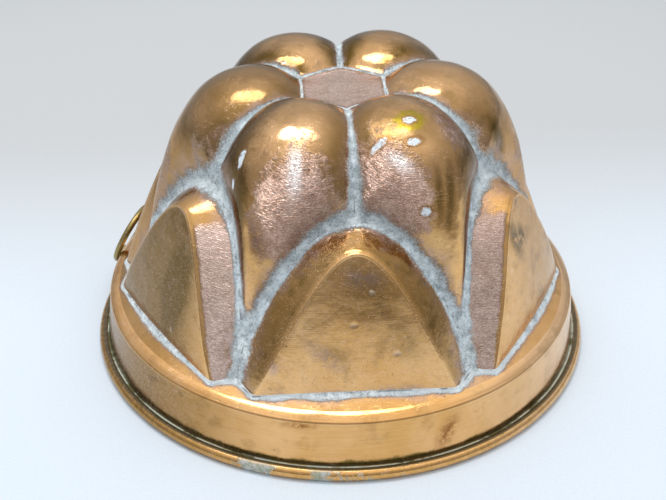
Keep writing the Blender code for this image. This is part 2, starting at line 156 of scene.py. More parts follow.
class Workpiece:
    """A mesh under way, shaped with bmesh operators and finished as one named object."""

    def __init__(self) -> None:
        """Starts an empty mesh with a layer for each mark."""
        self.bm = bmesh.new()
        self.layers = {mark: self.bm.verts.layers.float.new(mark.value) for mark in Mark}

    def patch(
        self, columns: int, rows: int, shape: Place, mark: Mark | None = None, across: float = 1.0
    ) -> None:
        """Adds a grid whose points are moved to their places.

        Args:
            columns: Faces across.
            rows: Faces along.
            shape: Gives the point at a share across and a share along.
            mark: The mark that the patch gets, if any.
            across: The mark's value at the start across; it is 1 at the end.
        """
        grid = bmesh.ops.create_grid(self.bm, x_segments=columns, y_segments=rows, size=0.5)
        for vert in grid["verts"]:
            share = vert.co.x + 0.5
            vert.co = shape(share, vert.co.y + 0.5)
            if mark:
                vert[self.layers[mark]] = across + (1.0 - across) * share

    def line(self, points: Sequence[Vector], closed: bool = False) -> None:
        """Adds a line of edges through the points.

        Args:
            points: The line's points, in order.
            closed: Whether the last point is joined to the first.
        """
        verts = [self.bm.verts.new(point) for point in points]
        ends = verts[1:] + verts[:1] if closed else verts[1:]
        for first, second in zip(verts, ends):
            self.bm.edges.new((first, second))

    def turn(self, steps: int) -> None:
        """Turns everything once round the Z axis."""
        geometry = self.everything()
        bmesh.ops.spin(self.bm, geom=geometry, axis=UP, angle=FULL_TURN, steps=steps, use_merge=True)
        self.weld()
        self.face_outwards()

    def hoop(self, middle: Vector, half_width: float, half_height: float, corners: int, steps: int) -> None:
        """Adds a hoop round the Z axis with a round or oval section.

        Args:
            middle: The middle of its section.
            half_width: Half the section's width.
            half_height: Half the section's height.
            corners: Points round the section.
            steps: Points round the hoop.
        """
        turns = [FULL_TURN * step / corners for step in range(corners)]
        reach = [(half_width * math.cos(turn), 0.0, half_height * math.sin(turn)) for turn in turns]
        self.line([middle + Vector(off) for off in reach], closed=True)
        self.turn(steps)

    def close_ends(self) -> None:
        """Fills every open end."""
        bmesh.ops.holes_fill(self.bm, edges=self.bm.edges, sides=0)
        self.face_outwards()

    def place(self, matrix: Matrix) -> None:
        """Moves everything into its place on the object."""
        bmesh.ops.transform(self.bm, matrix=matrix, verts=self.bm.verts)

    def relax(self, pull: Callable[[bmesh.types.BMVert], float], passes: int, swell: float = 0.0) -> None:
        """Evens the surface, each point by its own share of the way to the middle of its neighbours.

        Args:
            pull: Gives each point's share, 0 to leave it be.
            passes: How often it is done.
            swell: Share of each pass that is then undone, so that round forms keep their size.
        """
        moving = [
            (vert, share, [edge.other_vert(vert) for edge in vert.link_edges])
            for vert in self.bm.verts
            if (share := pull(vert)) > 0.0
        ]
        for _ in range(passes):
            for part in (1.0, -swell) if swell else (1.0,):
                middles = [sum((other.co for other in near), Vector()) / len(near) for _, _, near in moving]
                for (vert, share, _), middle in zip(moving, middles):
                    vert.co = vert.co.lerp(middle, share * part)

    def everything(self) -> list[bmesh.types.BMVert | bmesh.types.BMEdge | bmesh.types.BMFace]:
        """All points, edges and faces."""
        return [*self.bm.verts, *self.bm.edges, *self.bm.faces]

    def weld(self, distance: float = MERGE) -> None:
        """Joins points that lie together."""
        bmesh.ops.remove_doubles(self.bm, verts=self.bm.verts, dist=distance)

    def face_outwards(self) -> None:
        """Turns every face to point out of the body, or away from its axis and up where it is open."""
        bmesh.ops.recalc_face_normals(self.bm, faces=self.bm.faces)
        top = max(self.bm.faces, key=lambda face: face.calc_center_median().z)
        if top.normal.z < 0.0:
            bmesh.ops.reverse_faces(self.bm, faces=self.bm.faces)

    def finish(
        self, name: str, materials: Sequence[bpy.types.Material], sharp: float = 180.0
    ) -> bpy.types.Object:
        """Makes the object, shaded smooth.

        Args:
            name: The piece's name.
            materials: The materials of its slots.
            sharp: The angle in degrees from which an edge is shaded sharp.

        Returns:
            The new object, linked to the scene and standing at the origin.
        """
        for edge in self.bm.edges:
            edge.smooth = edge.calc_face_angle(math.pi if sharp < 180.0 else 0.0) < math.radians(sharp)
        mesh = bpy.data.meshes.new(name)
        self.bm.to_mesh(mesh)
        self.bm.free()
        for material in materials:
            mesh.materials.append(material)
        mesh.shade_smooth()
        piece = bpy.data.objects.new(name, mesh)
        bpy.context.scene.collection.objects.link(piece)
        return piece


@dataclass(frozen=True)
class Dent:
    """A small knock in the sheet, from outside and above; reach is how many radii it fades over."""

    azimuth: float
    height: float
    radius: float
    depth: float
    reach: float = 3.0

    def sink(self, away: float) -> float:
        """How deep the sheet is pressed at that distance from the middle."""
        near = away / self.radius
        return self.depth * math.exp(-near * near) if near < self.reach else 0.0


@dataclass(frozen=True)
class Scour:
    """A patch rubbed back to bare pink copper: its middle in degrees and millimetres, and its half sizes."""

    azimuth: float
    height: float
    half_width: float
    half_height: float
    strength: float


SCOURED = (
    Scour(-109.5, 97.0, 16.0, 20.5, 1.0),
    Scour(-75.0, 100.0, 14.0, 19.0, 0.95),
    Scour(-158.0, 104.0, 10.0, 9.0, 0.3),
    Scour(-44.0, 117.0, 10.0, 7.0, 0.6),
    Scour(0.0, 88.0, 9.0, 18.0, 0.5),
    Scour(118.0, 98.0, 13.0, 18.0, 0.8),
    Scour(64.0, 92.0, 12.0, 16.0, 0.7),
    Scour(-178.0, 84.0, 8.0, 12.0, 0.5),
)


@dataclass
class Skirt:
    """The collar below the crown: sloping ledge, flared band and an edge rolled over a wire."""

    sheet: float = 1.0 * MM
    gap: float = 0.3 * MM
    wire_radius: float = 1.3 * MM
    rim_radius: float = 110.0 * MM
    band_flare: float = 2.7 * MM
    shoulder_height: float = 24.8 * MM
    shoulder_bend: float = 1.6 * MM
    ledge_width: float = 4.4 * MM
    slope: float = math.radians(27.9)
    flat_half_angle: float = math.radians(23.0)
    roll_end: float = math.radians(112.0)
    solid_steps: int = 60
    steps: int = 240
    ledge_steps: int = 10
    bend_steps: int = 8
    band_steps: int = 14
    roll_steps: int = 36
    ledge_swell: float = 0.26 * MM
    waviness: float = 0.16 * MM
    waves: float = 45.0
    edge_waviness: float = 0.08 * MM
    edge_waves: float = 70.0
    shoulder_play: float = 0.6 * MM
    dent_slant: float = 0.7
    foot_height: float = 0.006 * MM
    lining_foot: float = 4.0 * MM
    dents: tuple[Dent, ...] = ()

    def __post_init__(self) -> None:
        """Works out the radii and heights that follow from the sizes."""
        self.roll_inner = self.wire_radius + self.gap
        self.roll_outer = self.roll_inner + self.sheet
        self.roll_radius = self.rim_radius - self.roll_outer
        self.roll_height = self.roll_inner * math.cos(self.flat_half_angle) + self.sheet
        self.band_foot_radius = self.roll_radius - self.roll_inner
        self.shoulder_radius = self.band_foot_radius - self.band_flare
        self.inner_radius = self.shoulder_radius - self.ledge_width
        self.inner_height = self.shoulder_height + self.ledge_width * math.tan(self.slope)
        self.band_lean = math.atan2(self.band_flare, self.shoulder_height - self.roll_height)
        hole = self.inner_radius - self.sheet * math.sin(self.slope)
        self.hole_radius = hole * math.cos(math.pi / self.solid_steps)

    def outline(self) -> list[tuple[Vector, Vector]]:
        """The face of the sheet that looks outwards and then, in the roll, at the wire.

        Returns:
            Each point with the way that it faces, from the ledge's inner edge to the roll's end.
        """
        ledge_normal = Vector((math.sin(self.slope), 0.0, math.cos(self.slope)))
        band_normal = Vector((math.cos(self.band_lean), 0.0, math.sin(self.band_lean)))
        corner = Vector((self.shoulder_radius, 0.0, self.shoulder_height))
        between = (ledge_normal + band_normal) / (1.0 + ledge_normal.dot(band_normal))
        bend_centre = corner - self.shoulder_bend * between
        bend = []
        for share in even_shares(self.bend_steps):
            normal = ledge_normal.slerp(band_normal, share)
            bend.append((bend_centre + self.shoulder_bend * normal, normal))
        roll, roll_centre = [], Vector((self.roll_radius, 0.0, self.roll_height))
        for share in even_shares(self.roll_steps):
            turn = math.pi + (math.pi + self.roll_end) * share
            normal = Vector((-math.cos(turn), 0.0, -math.sin(turn)))
            roll.append((roll_centre - self.roll_inner * normal, normal))
        ledge, top = [], Vector((self.inner_radius, 0.0, self.inner_height))
        for share in even_shares(self.ledge_steps)[:-1]:
            swell = 4.0 * share * (1.0 - share) * self.ledge_swell
            ledge.append((top.lerp(bend[0][0], share) + swell * ledge_normal, ledge_normal))
        (band_top, _), (band_foot, foot_normal) = bend[-1], roll[0]
        band = [
            (band_top.lerp(band_foot, share), band_normal.slerp(foot_normal, share))
            for share in even_shares(self.band_steps)[1:-1]
        ]
        return ledge + bend + band + roll

    def wear(self, work: Workpiece) -> None:
        """Gives the collar its slightly uneven run and the knocks along its edges."""
        elsewhere = Vector((3.0, 0.0, 0.0))
        for vert in work.bm.verts:
            point = vert.co.copy()
            outwards = Vector((point.x, point.y, 0.0)).normalized()
            free = smooth_step(point.z, self.roll_height, self.shoulder_height / 2.0)
            free *= 1.0 - smooth_step(point.z, self.shoulder_height + self.shoulder_play, self.inner_height)
            push = noise.noise(point * self.waves) * self.waviness * free
            inwards = abs(noise.noise(point * self.edge_waves + elsewhere))
            push -= inwards * self.edge_waviness * (1.0 - free)
            vert.co += outwards * push
            for dent in self.dents:
                middle = on_azimuth(self.shoulder_radius, dent.azimuth, dent.height)
                sink = dent.sink((point - middle).length) * self.dent_slant
                vert.co -= (outwards + UP) * sink
            vert.co.z = max(vert.co.z, self.foot_height)

    def build(self, outer: bpy.types.Material, lining: bpy.types.Material) -> bpy.types.Object:
        """Makes the collar.

        Args:
            outer: The copper outside.
            lining: The tin inside.

        Returns:
            The skirt, riding on the mould.
        """
        work = Workpiece()
        outline = self.outline()
        back = [point - normal * self.sheet for point, normal in reversed(outline)]
        work.line([point for point, _ in outline] + back, closed=True)
        work.turn(self.steps)
        self.wear(work)
        work.bm.normal_update()
        for face in work.bm.faces:
            middle = face.calc_center_median()
            inside = face.normal.xy.dot(middle.xy) < 0.0 or face.normal.z < -0.3
            within = middle.xy.length < self.band_foot_radius and middle.z > self.lining_foot
            face.material_index = int(inside and within)
        skirt = work.finish("copper_skirt", [outer, lining], sharp=50.0)
        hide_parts("skirt")
        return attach(skirt, Body.MOULD.value)


@dataclass
class Crown:
    """The lobed crown, raised by hand from one copper sheet.

    Its outer face is laid out for half a lobe and half a panel, in the frame of the panel's
    middle: X out, Y along the panel, Z up. Mirrored and turned copies make the rest.
    """

    sheet: float = 1.0 * MM
    gap: float = 0.3 * MM
    lobes: int = 6
    first_panel_azimuth: float = -math.pi / 2.0
    centre_corner_radius: float = 20.3 * MM
    centre_height: float = 116.3 * MM
    crest: Vector = field(default_factory=lambda: Vector((36.2, 0.0, 124.7)) * MM)
    crest_inner_reach: float = 13.5 * MM
    crest_outer_reach: float = 26.2 * MM
    tip_radius: float = 85.1 * MM
    tip_height: float = 43.7 * MM
    tip_reach: float = 62.3 * MM
    tip_lean: float = math.radians(8.6)
    saddle: Vector = field(default_factory=lambda: Vector((33.6, 0.0, 118.4)) * MM)
    saddle_inner_reach: float = 4.7 * MM
    saddle_outer_reach: float = 15.5 * MM
    valley_foot: Vector = field(default_factory=lambda: Vector((61.0, 0.0, 89.6)) * MM)
    valley_foot_reach: float = 7.5 * MM
    valley_foot_lean: float = math.radians(19.5)
    roundness_along: tuple[float, ...] = (60.0, 75.0, 80.0, 75.0, 60.0)
    panel_half_angle: float = math.radians(24.5)
    panel_top: Vector = field(default_factory=lambda: Vector((77.4, 0.0, 84.8)) * MM)
    panel_belly: float = 3.3 * MM
    panel_arch: float = 0.62
    panel_lean_power: float = 1.5
    crease_arch: float = 1.1
    crease_lean_power: float = 1.3
    crease_crowding: float = 1.3
    edge_crowding: float = 1.5
    foot_turn_power: int = 4
    groove_setback: float = 5.3 * MM
    foot_lap: float = 2.8 * MM
    valley_share: float = 5.0 / 12.0
    crease_share: float = 7.0 / 9.0
    rows_along: int = 72
    lobe_columns: int = 24
    side_columns: int = 6
    panel_columns: int = 20
    centre_rows: int = 8
    foot_rows: int = 5
    crease_steps: int = 90
    edge_steps: int = 400
    line_offset: float = 20.0 * MM
    copy_offset: float = 0.37
    junction_reach: float = 7.0 * MM
    foot_hold: float = 3.0 * MM
    lobe_pull: float = 0.5
    lobe_passes: int = 30
    lobe_swell: float = 0.97
    crease_pull: float = 0.6
    crease_passes: int = 4
    edge_pull: float = 0.3
    edge_passes: int = 1
    wander: float = 0.5 * MM
    wander_seed: int = 1
    wander_waves: float = 24.0
    hammer_marks: float = 0.16 * MM
    hammer_waves: float = 95.0
    fine_marks: float = 0.056 * MM
    fine_waves: float = 210.0
    lean: float = 1.2 * MM
    lean_start: float = 30.0 * MM
    lean_end: float = 95.0 * MM
    top_height: float = 124.68 * MM
    top_play: float = 0.4 * MM
    scoured: tuple[Scour, ...] = ()

    def __post_init__(self) -> None:
        """Works out the lines that the faces hang from."""
        self.half_lobe = math.pi / self.lobes
        tip_handle = Vector((-math.sin(self.tip_lean), 0.0, math.cos(self.tip_lean))) * self.tip_reach
        foot_handle = Vector((-math.sin(self.valley_foot_lean), 0.0, math.cos(self.valley_foot_lean)))
        start = Vector((self.centre_corner_radius * math.cos(self.half_lobe), 0.0, self.centre_height))
        corner = Vector((self.centre_corner_radius, 0.0, self.centre_height))
        tip = Vector((self.tip_radius, 0.0, self.tip_height))
        inwards = Vector((-1.0, 0.0, 0.0))
        over = curve(start, start, self.crest + inwards * self.crest_inner_reach, self.crest)
        down = curve(self.crest, self.crest - inwards * self.crest_outer_reach, tip + tip_handle, tip)
        self.top_line = Course(over + down[1:])
        over = curve(corner, corner, self.saddle + inwards * self.saddle_inner_reach, self.saddle)
        down = curve(
            self.saddle,
            self.saddle - inwards * self.saddle_outer_reach,
            self.valley_foot + foot_handle * self.valley_foot_reach,
            self.valley_foot,
        )
        self.valley_line = Course(over + down[1:])
        self.ledge = Skirt()
        self.tip = on_azimuth(self.tip_radius, self.half_lobe, self.tip_height)
        self.corner_radius = self.ledge.hole_radius - self.gap
        self.foot_radius = self.ledge.inner_radius + self.foot_lap
        self.panel_corner = on_azimuth(
            self.corner_radius, self.panel_half_angle, self.foot_height(self.corner_radius)
        )
        groove_radius = self.ledge.inner_radius - self.groove_setback
        self.groove_foot = on_azimuth(groove_radius, self.half_lobe, self.foot_height(groove_radius))

    def foot_height(self, radius: float) -> float:
        """Height of the foot, a cone that runs on under the ledge, at that radius."""
        drop = (self.sheet + self.gap) / math.cos(self.ledge.slope)
        rise = (self.ledge.inner_radius - radius) * math.tan(self.ledge.slope)
        return self.ledge.inner_height - drop + rise

    @staticmethod
    def arch_point(down: float, top: Vector, foot: Vector, arch: float, lean_power: float) -> Vector:
        """A point on half an arch.

        Args:
            down: Share of the way down, 0 at the top.
            top: The arch's top.
            foot: The arch's foot.
            arch: How round the top is, 1 for a full bow.
            lean_power: How late the arch leans back.

        Returns:
            The point.
        """
        across = math.sqrt(arch * down + (1.0 - arch) * down * down)
        return Vector((
            foot.x + (top.x - foot.x) * (1.0 - down) ** lean_power,
            foot.y * across,
            top.z + (foot.z - top.z) * down,
        ))

    def crease(self, share: float) -> Vector:
        """The line where a panel's side meets the lobe, from the panel's top to the lobe's tip."""
        down = share**self.crease_crowding
        return self.arch_point(down, self.valley_foot, self.tip, self.crease_arch, self.crease_lean_power)

    def panel_edge(self, share: float) -> Vector:
        """The panel's sharp edge, from its top to its lower corner."""
        down, corner = share**self.edge_crowding, self.panel_corner
        return self.arch_point(down, self.panel_top, corner, self.panel_arch, self.panel_lean_power)

    def lobe_side(self, share: float) -> Vector:
        """The bottom of the valley and then of the crease, from the flat centre to the lobe's tip."""
        if share <= self.valley_share:
            return self.valley_line.at(share / self.valley_share)
        return self.crease((share - self.valley_share) / (1.0 - self.valley_share))

    def band_side(self, share: float) -> Vector:
        """The crease and then the groove between two panels, from a panel's top to the foot."""
        if share <= self.crease_share:
            return self.crease(share / self.crease_share)
        return self.tip.lerp(self.groove_foot, (share - self.crease_share) / (1.0 - self.crease_share))

    def lobe_point(self, across: float, along: float) -> Vector:
        """A point on half a lobe: across from its middle to its side, along from centre to tip."""
        place = along * (len(self.roundness_along) - 1)
        index = min(int(place), len(self.roundness_along) - 2)
        low, high = self.roundness_along[index : index + 2]
        turn = math.radians(low + (high - low) * (place - index))
        into_lobe = Matrix.Rotation(-self.half_lobe, 4, "Z")
        side = into_lobe @ self.lobe_side(along)
        point = self.top_line.at(along).lerp(side, (1.0 - math.cos(turn * across)) / (1.0 - math.cos(turn)))
        point.y = side.y * math.sin(turn * across) / math.sin(turn)
        return into_lobe.inverted() @ point

    def centre_point(self, across: float, along: float) -> Vector:
        """A point on the flat centre."""
        middle = Vector((0.0, 0.0, self.centre_height))
        return middle.lerp(self.lobe_point(across, 0.0), along)

    def band_point(self, across: float, along: float) -> Vector:
        """A point on the side of a panel: across from the sharp edge to the crease."""
        return self.panel_edge(along).lerp(self.band_side(along), across)

    def panel_point(self, across: float, along: float) -> Vector:
        """A point on a panel's face: across from its middle to its edge, along from top to foot."""
        edge = self.panel_edge(along)
        belly = self.panel_belly * (edge.y / self.panel_corner.y) ** 2
        point = Vector((edge.x + belly * (1.0 - across**2), edge.y * across, edge.z))
        sink = self.foot_height(math.hypot(point.x, point.y)) - self.foot_height(math.hypot(edge.x, edge.y))
        point.z += along**self.foot_turn_power * sink
        return point

    def under_ledge(self, point: Vector) -> Vector:
        """Where the foot's cone, followed outwards from a point, ends under the ledge."""
        return on_azimuth(self.foot_radius, math.atan2(point.y, point.x), self.foot_height(self.foot_radius))

    def foot_point(self, start: Place) -> Place:
        """The foot's cone between a line and its end under the ledge.

        Args:
            start: The face above, whose lowest row the cone starts from.

        Returns:
            A function of the share across and the share outwards.
        """
        return lambda across, out: start(across, 1.0).lerp(self.under_ledge(start(across, 1.0)), out)

    def lay_out(self, work: Workpiece) -> None:
        """Adds the faces of half a lobe and half a panel, then the mirrored and turned copies."""
        band_rows = round(self.rows_along * (1.0 - self.valley_share) / self.crease_share)
        work.patch(self.lobe_columns, self.rows_along, self.lobe_point, Mark.FLANK, across=0.0)
        work.patch(self.lobe_columns, self.centre_rows, self.centre_point, Mark.CENTRE)
        work.patch(self.side_columns, band_rows, self.band_point, Mark.PANEL_SIDE)
        work.patch(self.panel_columns, band_rows, self.panel_point, Mark.PANEL_FACE)
        work.patch(self.panel_columns, self.foot_rows, self.foot_point(self.panel_point))
        work.patch(self.side_columns, self.foot_rows, self.foot_point(self.band_point))
        work.weld()
        bmesh.ops.mirror(work.bm, geom=work.everything(), merge_dist=MERGE, axis="Y")
        self.copy_round(work)

    def copy_round(self, work: Workpiece) -> None:
        """Turns copies of one lobe's share round the axis, and the first of them to its place."""
        angle, steps = FULL_TURN * (self.lobes - 1) / self.lobes, self.lobes - 1
        bmesh.ops.spin(
            work.bm, geom=work.everything(), axis=UP, angle=angle, steps=steps, use_duplicate=True
        )
        work.weld(MERGE * 10.0)
        turn = Matrix.Rotation(self.first_panel_azimuth, 3, "Z")
        bmesh.ops.rotate(work.bm, verts=work.bm.verts, matrix=turn)
        work.face_outwards()

    def crease_samples(self) -> list[tuple[Vector, float, float]]:
        """Points along the creases of half a lobe, with their distance along and the deposit's width.

        Returns:
            Each point's place, its distance along its line and the half width of the pale deposit.
        """
        lines: list[tuple[Callable[[float], Vector], float]] = [
            (self.valley_line.at, 2.2 * MM),
            (self.crease, 2.5 * MM),
            (lambda share: self.tip.lerp(self.groove_foot, share), 3.0 * MM),
            (lambda share: self.lobe_point(share, 0.0), 0.8 * MM),
            (lambda share: self.panel_point(share, 1.0), 0.9 * MM),
            (lambda share: self.band_point(share, 1.0), 2.0 * MM),
        ]
        samples, offset = [], 0.0
        for line, width in lines:
            points = [line(share) for share in even_shares(self.crease_steps)]
            along = offset
            for previous, point in zip([points[0], *points], points):
                along += (point - previous).length
                samples.append((point, along, width))
            offset = along + self.line_offset
        return samples

    def mark_creases(self, work: Workpiece) -> None:
        """Stores at each point how far it lies from the creases and from the panels' sharp edges."""
        junctions = [(self.valley_foot, 1.5 * MM), (self.tip, 1.2 * MM), (self.groove_foot, 1.5 * MM)]
        edges = [self.panel_edge(share) for share in even_shares(self.edge_steps)]
        samples = self.crease_samples()
        copies = [
            Matrix.Rotation(self.first_panel_azimuth + 2.0 * self.half_lobe * turn, 3, "Z")
            @ Matrix.Diagonal((1.0, side, 1.0))
            for turn in range(self.lobes)
            for side in (1.0, -1.0)
        ]
        crease_tree = KDTree(len(samples) * len(copies))
        edge_tree = KDTree(len(edges) * len(copies))
        lengths, widths = [], []
        for number, copy in enumerate(copies):
            for point, along, width in samples:
                crease_tree.insert(copy @ point, len(lengths))
                lengths.append(along + self.copy_offset * number)
                wider = sum(
                    extra * math.exp(-(((point - junction).length / self.junction_reach) ** 2))
                    for junction, extra in junctions
                )
                widths.append(width + wider)
            for index, point in enumerate(edges):
                edge_tree.insert(copy @ point, index)
        crease_tree.balance()
        edge_tree.balance()
        for vert in work.bm.verts:
            _, index, away = crease_tree.find(vert.co)
            vert[work.layers[Mark.CREASE_AWAY]] = away / MM
            vert[work.layers[Mark.CREASE_ALONG]] = lengths[index] / MM
            vert[work.layers[Mark.CREASE_WIDTH]] = widths[index] / MM
            vert[work.layers[Mark.EDGE_AWAY]] = edge_tree.find(vert.co)[2] / MM
            inside = smooth_step(vert[work.layers[Mark.EDGE_AWAY]], 0.1, 1.0)
            inside *= smooth_step(vert[work.layers[Mark.CREASE_AWAY]], 0.1, 1.5)
            for mark in (Mark.PANEL_FACE, Mark.PANEL_SIDE, Mark.CENTRE):
                vert[work.layers[mark]] *= inside

    def soften(self, work: Workpiece) -> None:
        """Rounds the lobes, the creases and the panels' edges, as a hammered sheet rounds them."""
        away, edge = work.layers[Mark.CREASE_AWAY], work.layers[Mark.EDGE_AWAY]
        others = [work.layers[mark] for mark in (Mark.PANEL_FACE, Mark.PANEL_SIDE, Mark.CENTRE)]
        foot, top = self.ledge.inner_height, self.panel_top.z

        def on_lobe(vert: bmesh.types.BMVert) -> float:
            """How far a point on a lobe's round back is smoothed."""
            if vert.co.z < self.tip_height - 1.0 * MM or any(vert[layer] for layer in others):
                return 0.0
            return self.lobe_pull * smooth_step(vert[away], 1.0, 6.0) * smooth_step(vert[edge], 3.0, 6.0)

        def in_crease(vert: bmesh.types.BMVert) -> float:
            """How far a point in a crease is smoothed."""
            above = smooth_step(vert.co.z, foot, foot + self.foot_hold)
            return self.crease_pull * above * (1.0 - smooth_step(vert[away], 0.8, 4.0))

        def on_edge(vert: bmesh.types.BMVert) -> float:
            """How far a point on a panel's sharp edge is smoothed."""
            above = smooth_step(vert.co.z, foot, foot + self.foot_hold)
            above *= 1.0 - smooth_step(vert.co.z, top - 5.0 * MM, top - 1.5 * MM)
            return self.edge_pull * above * (1.0 - smooth_step(vert[edge], 0.0, 1.2))

        work.relax(on_lobe, self.lobe_passes, swell=self.lobe_swell)
        work.relax(in_crease, self.crease_passes)
        work.relax(on_edge, self.edge_passes)

    def work_by_hand(self, work: Workpiece) -> None:
        """Gives the sheet its uneven, hammered surface and its slight lean."""
        work.bm.normal_update()
        away, edge = work.layers[Mark.CREASE_AWAY], work.layers[Mark.EDGE_AWAY]
        noise.seed_set(self.wander_seed)
        for vert in work.bm.verts:
            point, normal = vert.co.copy(), vert.normal.copy()
            above_ledge = point.z - self.ledge.inner_height
            shift = noise.noise_vector(point * self.wander_waves) * self.wander
            flat = smooth_step(vert[away], 0.3, 3.0) * smooth_step(vert[edge], 0.3, 3.0)
            shift += normal * flat * noise.noise(point * self.hammer_waves) * self.hammer_marks
            shift += normal * flat * noise.noise(point * self.fine_waves) * self.fine_marks
            shift.x += self.lean * smooth_step(point.z, self.lean_start, self.lean_end)
            vert.co += shift * smooth_step(above_ledge, self.foot_hold, 14.0 * MM)
            above = vert.co.z - (self.top_height - self.top_play)
            if above > 0.0:
                vert.co.z -= above - self.top_play * (1.0 - math.exp(-above / self.top_play))

    def mark_scouring(self, work: Workpiece) -> None:
        """Stores where the copper is scoured back to its pink, scratched metal."""
        for vert in work.bm.verts:
            rubbed = 0.0
            azimuth = math.atan2(vert.co.y, vert.co.x)
            for patch in self.scoured:
                turn = math.remainder(azimuth - math.radians(patch.azimuth), FULL_TURN)
                aside, above = turn * vert.co.xy.length / MM, vert.co.z / MM - patch.height
                spread = (aside / patch.half_width) ** 2 + (above / patch.half_height) ** 2
                rubbed = max(rubbed, patch.strength * math.exp(-spread * spread))
            vert[work.layers[Mark.SCOURED]] = rubbed

    def build(self, outer: bpy.types.Material, lining: bpy.types.Material) -> bpy.types.Object:
        """Makes the crown's wall.

        Args:
            outer: The copper outside.
            lining: The tin inside.

        Returns:
            The crown, riding on the mould.
        """
        work = Workpiece()
        self.lay_out(work)
        self.mark_creases(work)
        self.soften(work)
        self.work_by_hand(work)
        self.mark_scouring(work)
        crown = work.finish("copper_crown", [outer, lining])
        wall = crown.modifiers.new("Wall", "SOLIDIFY")
        wall.thickness = self.sheet
        wall.offset = -1.0
        wall.material_offset = 1
        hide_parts("crown")
        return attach(crown, Body.MOULD.value)


@dataclass
class FootBraze:
    """The brazed joint between the crown's foot and the ledge, filed level with the ledge."""

    crown: Crown
    thickness: float = 0.9 * MM
    into_wall: float = 0.55 * MM
    onto_ledge: float = 0.5 * MM
    fillet_height: float = 0.7 * MM
    fillet_width: float = 0.8 * MM
    lift: float = 0.01 * MM
    panel_share: float = 0.85
    columns: int = 30
    rows: int = 12
    residue_steps: int = 60
    residue_width: float = 1.8 * MM
    groove_residue: float = 0.9 * MM
    groove_half_angle: float = 0.06
    course_radius: float = 97.0 * MM
    edge_away: float = 9.0 * MM

    def foot(self, across: float) -> Vector:
        """The crown's foot line, from a panel's middle to the groove beside it."""
        if across <= self.panel_share:
            return self.crown.panel_point(across / self.panel_share, 1.0)
        return self.crown.band_point((across - self.panel_share) / (1.0 - self.panel_share), 1.0)

    def point(self, across: float, along: float) -> Vector:
        """A point on the joint: across along the foot line, along from the wall to the ledge."""
        foot, ledge = self.foot(across), self.crown.ledge
        wall = foot.xy.length - self.into_wall
        radius = wall + (ledge.inner_radius + self.onto_ledge - wall) * along**1.6
        height = ledge.inner_height + (ledge.inner_radius - radius) * math.tan(ledge.slope)
        height += self.fillet_height * math.exp(-max(radius - wall - self.into_wall, 0.0) / self.fillet_width)
        return on_azimuth(radius, math.atan2(foot.y, foot.x), height + self.lift)

    def mark_residue(self, work: Workpiece) -> None:
        """Stores how far each point lies from the crown's foot, and how wide the residue is there."""
        line = [self.foot(share) for share in even_shares(self.residue_steps)]
        for vert in work.bm.verts:
            azimuth = math.atan2(vert.co.y, vert.co.x)
            foot = min(line, key=lambda point: abs(math.atan2(point.y, point.x) - azimuth))
            at_groove = math.exp(-(((azimuth - self.crown.half_lobe) / self.groove_half_angle) ** 2))
            width = self.residue_width + self.groove_residue * at_groove
            vert[work.layers[Mark.CREASE_AWAY]] = abs(vert.co.xy.length - foot.xy.length) / MM
            vert[work.layers[Mark.CREASE_ALONG]] = azimuth * self.course_radius / MM
            vert[work.layers[Mark.CREASE_WIDTH]] = width / MM
            vert[work.layers[Mark.EDGE_AWAY]] = self.edge_away / MM

    def build(self, material: bpy.types.Material) -> bpy.types.Object:
        """Makes the joint.

        Args:
            material: The copper, which reads how far each point lies from the wall.

        Returns:
            The joint, riding on the mould.
        """
        work = Workpiece()
        work.patch(self.columns, self.rows, self.point)
        self.mark_residue(work)
        bmesh.ops.mirror(work.bm, geom=work.everything(), merge_dist=MERGE, axis="Y")
        self.crown.copy_round(work)
        joint = work.finish("foot_braze", [material], sharp=50.0)
        depth = joint.modifiers.new("Depth", "SOLIDIFY")
        depth.thickness = self.thickness
        depth.offset = -1.0
        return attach(joint, Body.MOULD.value)


@dataclass
class BeadDeposit:
    """Green-white residue packed between the band and the rolled edge."""

    ledge: Skirt
    out_of_band: float = 0.18 * MM
    above_wire: float = 2.0272 * MM
    half_width: float = 0.50 * MM
    half_height: float = 0.22 * MM
    unevenness: float = 0.5
    lump_waves: float = 60.0
    grain_waves: float = 500.0
    grain_share: float = 0.7
    corners: int = 10
    steps: int = 480

    def build(self, material: bpy.types.Material) -> bpy.types.Object:
        """Makes the deposit.

        Args:
            material: The residue.

        Returns:
            The deposit, riding on the mould.
        """
        radius = self.ledge.band_foot_radius + self.out_of_band
        height = self.ledge.roll_height + self.above_wire
        work = Workpiece()
        section = Vector((radius, 0.0, height))
        work.hoop(section, self.half_width, self.half_height, self.corners, self.steps)
        for vert in work.bm.verts:
            middle = on_azimuth(radius, math.atan2(vert.co.y, vert.co.x), height)
            uneven = noise.noise(middle * self.lump_waves)
            uneven += self.grain_share * noise.noise(vert.co * self.grain_waves)
            vert.co = middle + (vert.co - middle) * (1.0 + self.unevenness * uneven)
        deposit = work.finish("bead_deposit", [material])
        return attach(deposit, Body.MOULD.value)


@dataclass
class RimWire:
    """The iron wire that the skirt's edge is rolled over."""

    ledge: Skirt
    corners: int = 16
    steps: int = 180

    def build(self, material: bpy.types.Material) -> bpy.types.Object:
        """Makes the wire.

        Args:
            material: The iron.

        Returns:
            The wire, riding on the mould.
        """
        work = Workpiece()
        middle, radius = Vector((self.ledge.roll_radius, 0.0, self.ledge.roll_height)), self.ledge.wire_radius
        work.hoop(middle, radius, radius, self.corners, self.steps)
        wire = work.finish("iron_rim_wire", [material])
        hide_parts("rim_wire")
        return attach(wire, Body.MOULD.value)


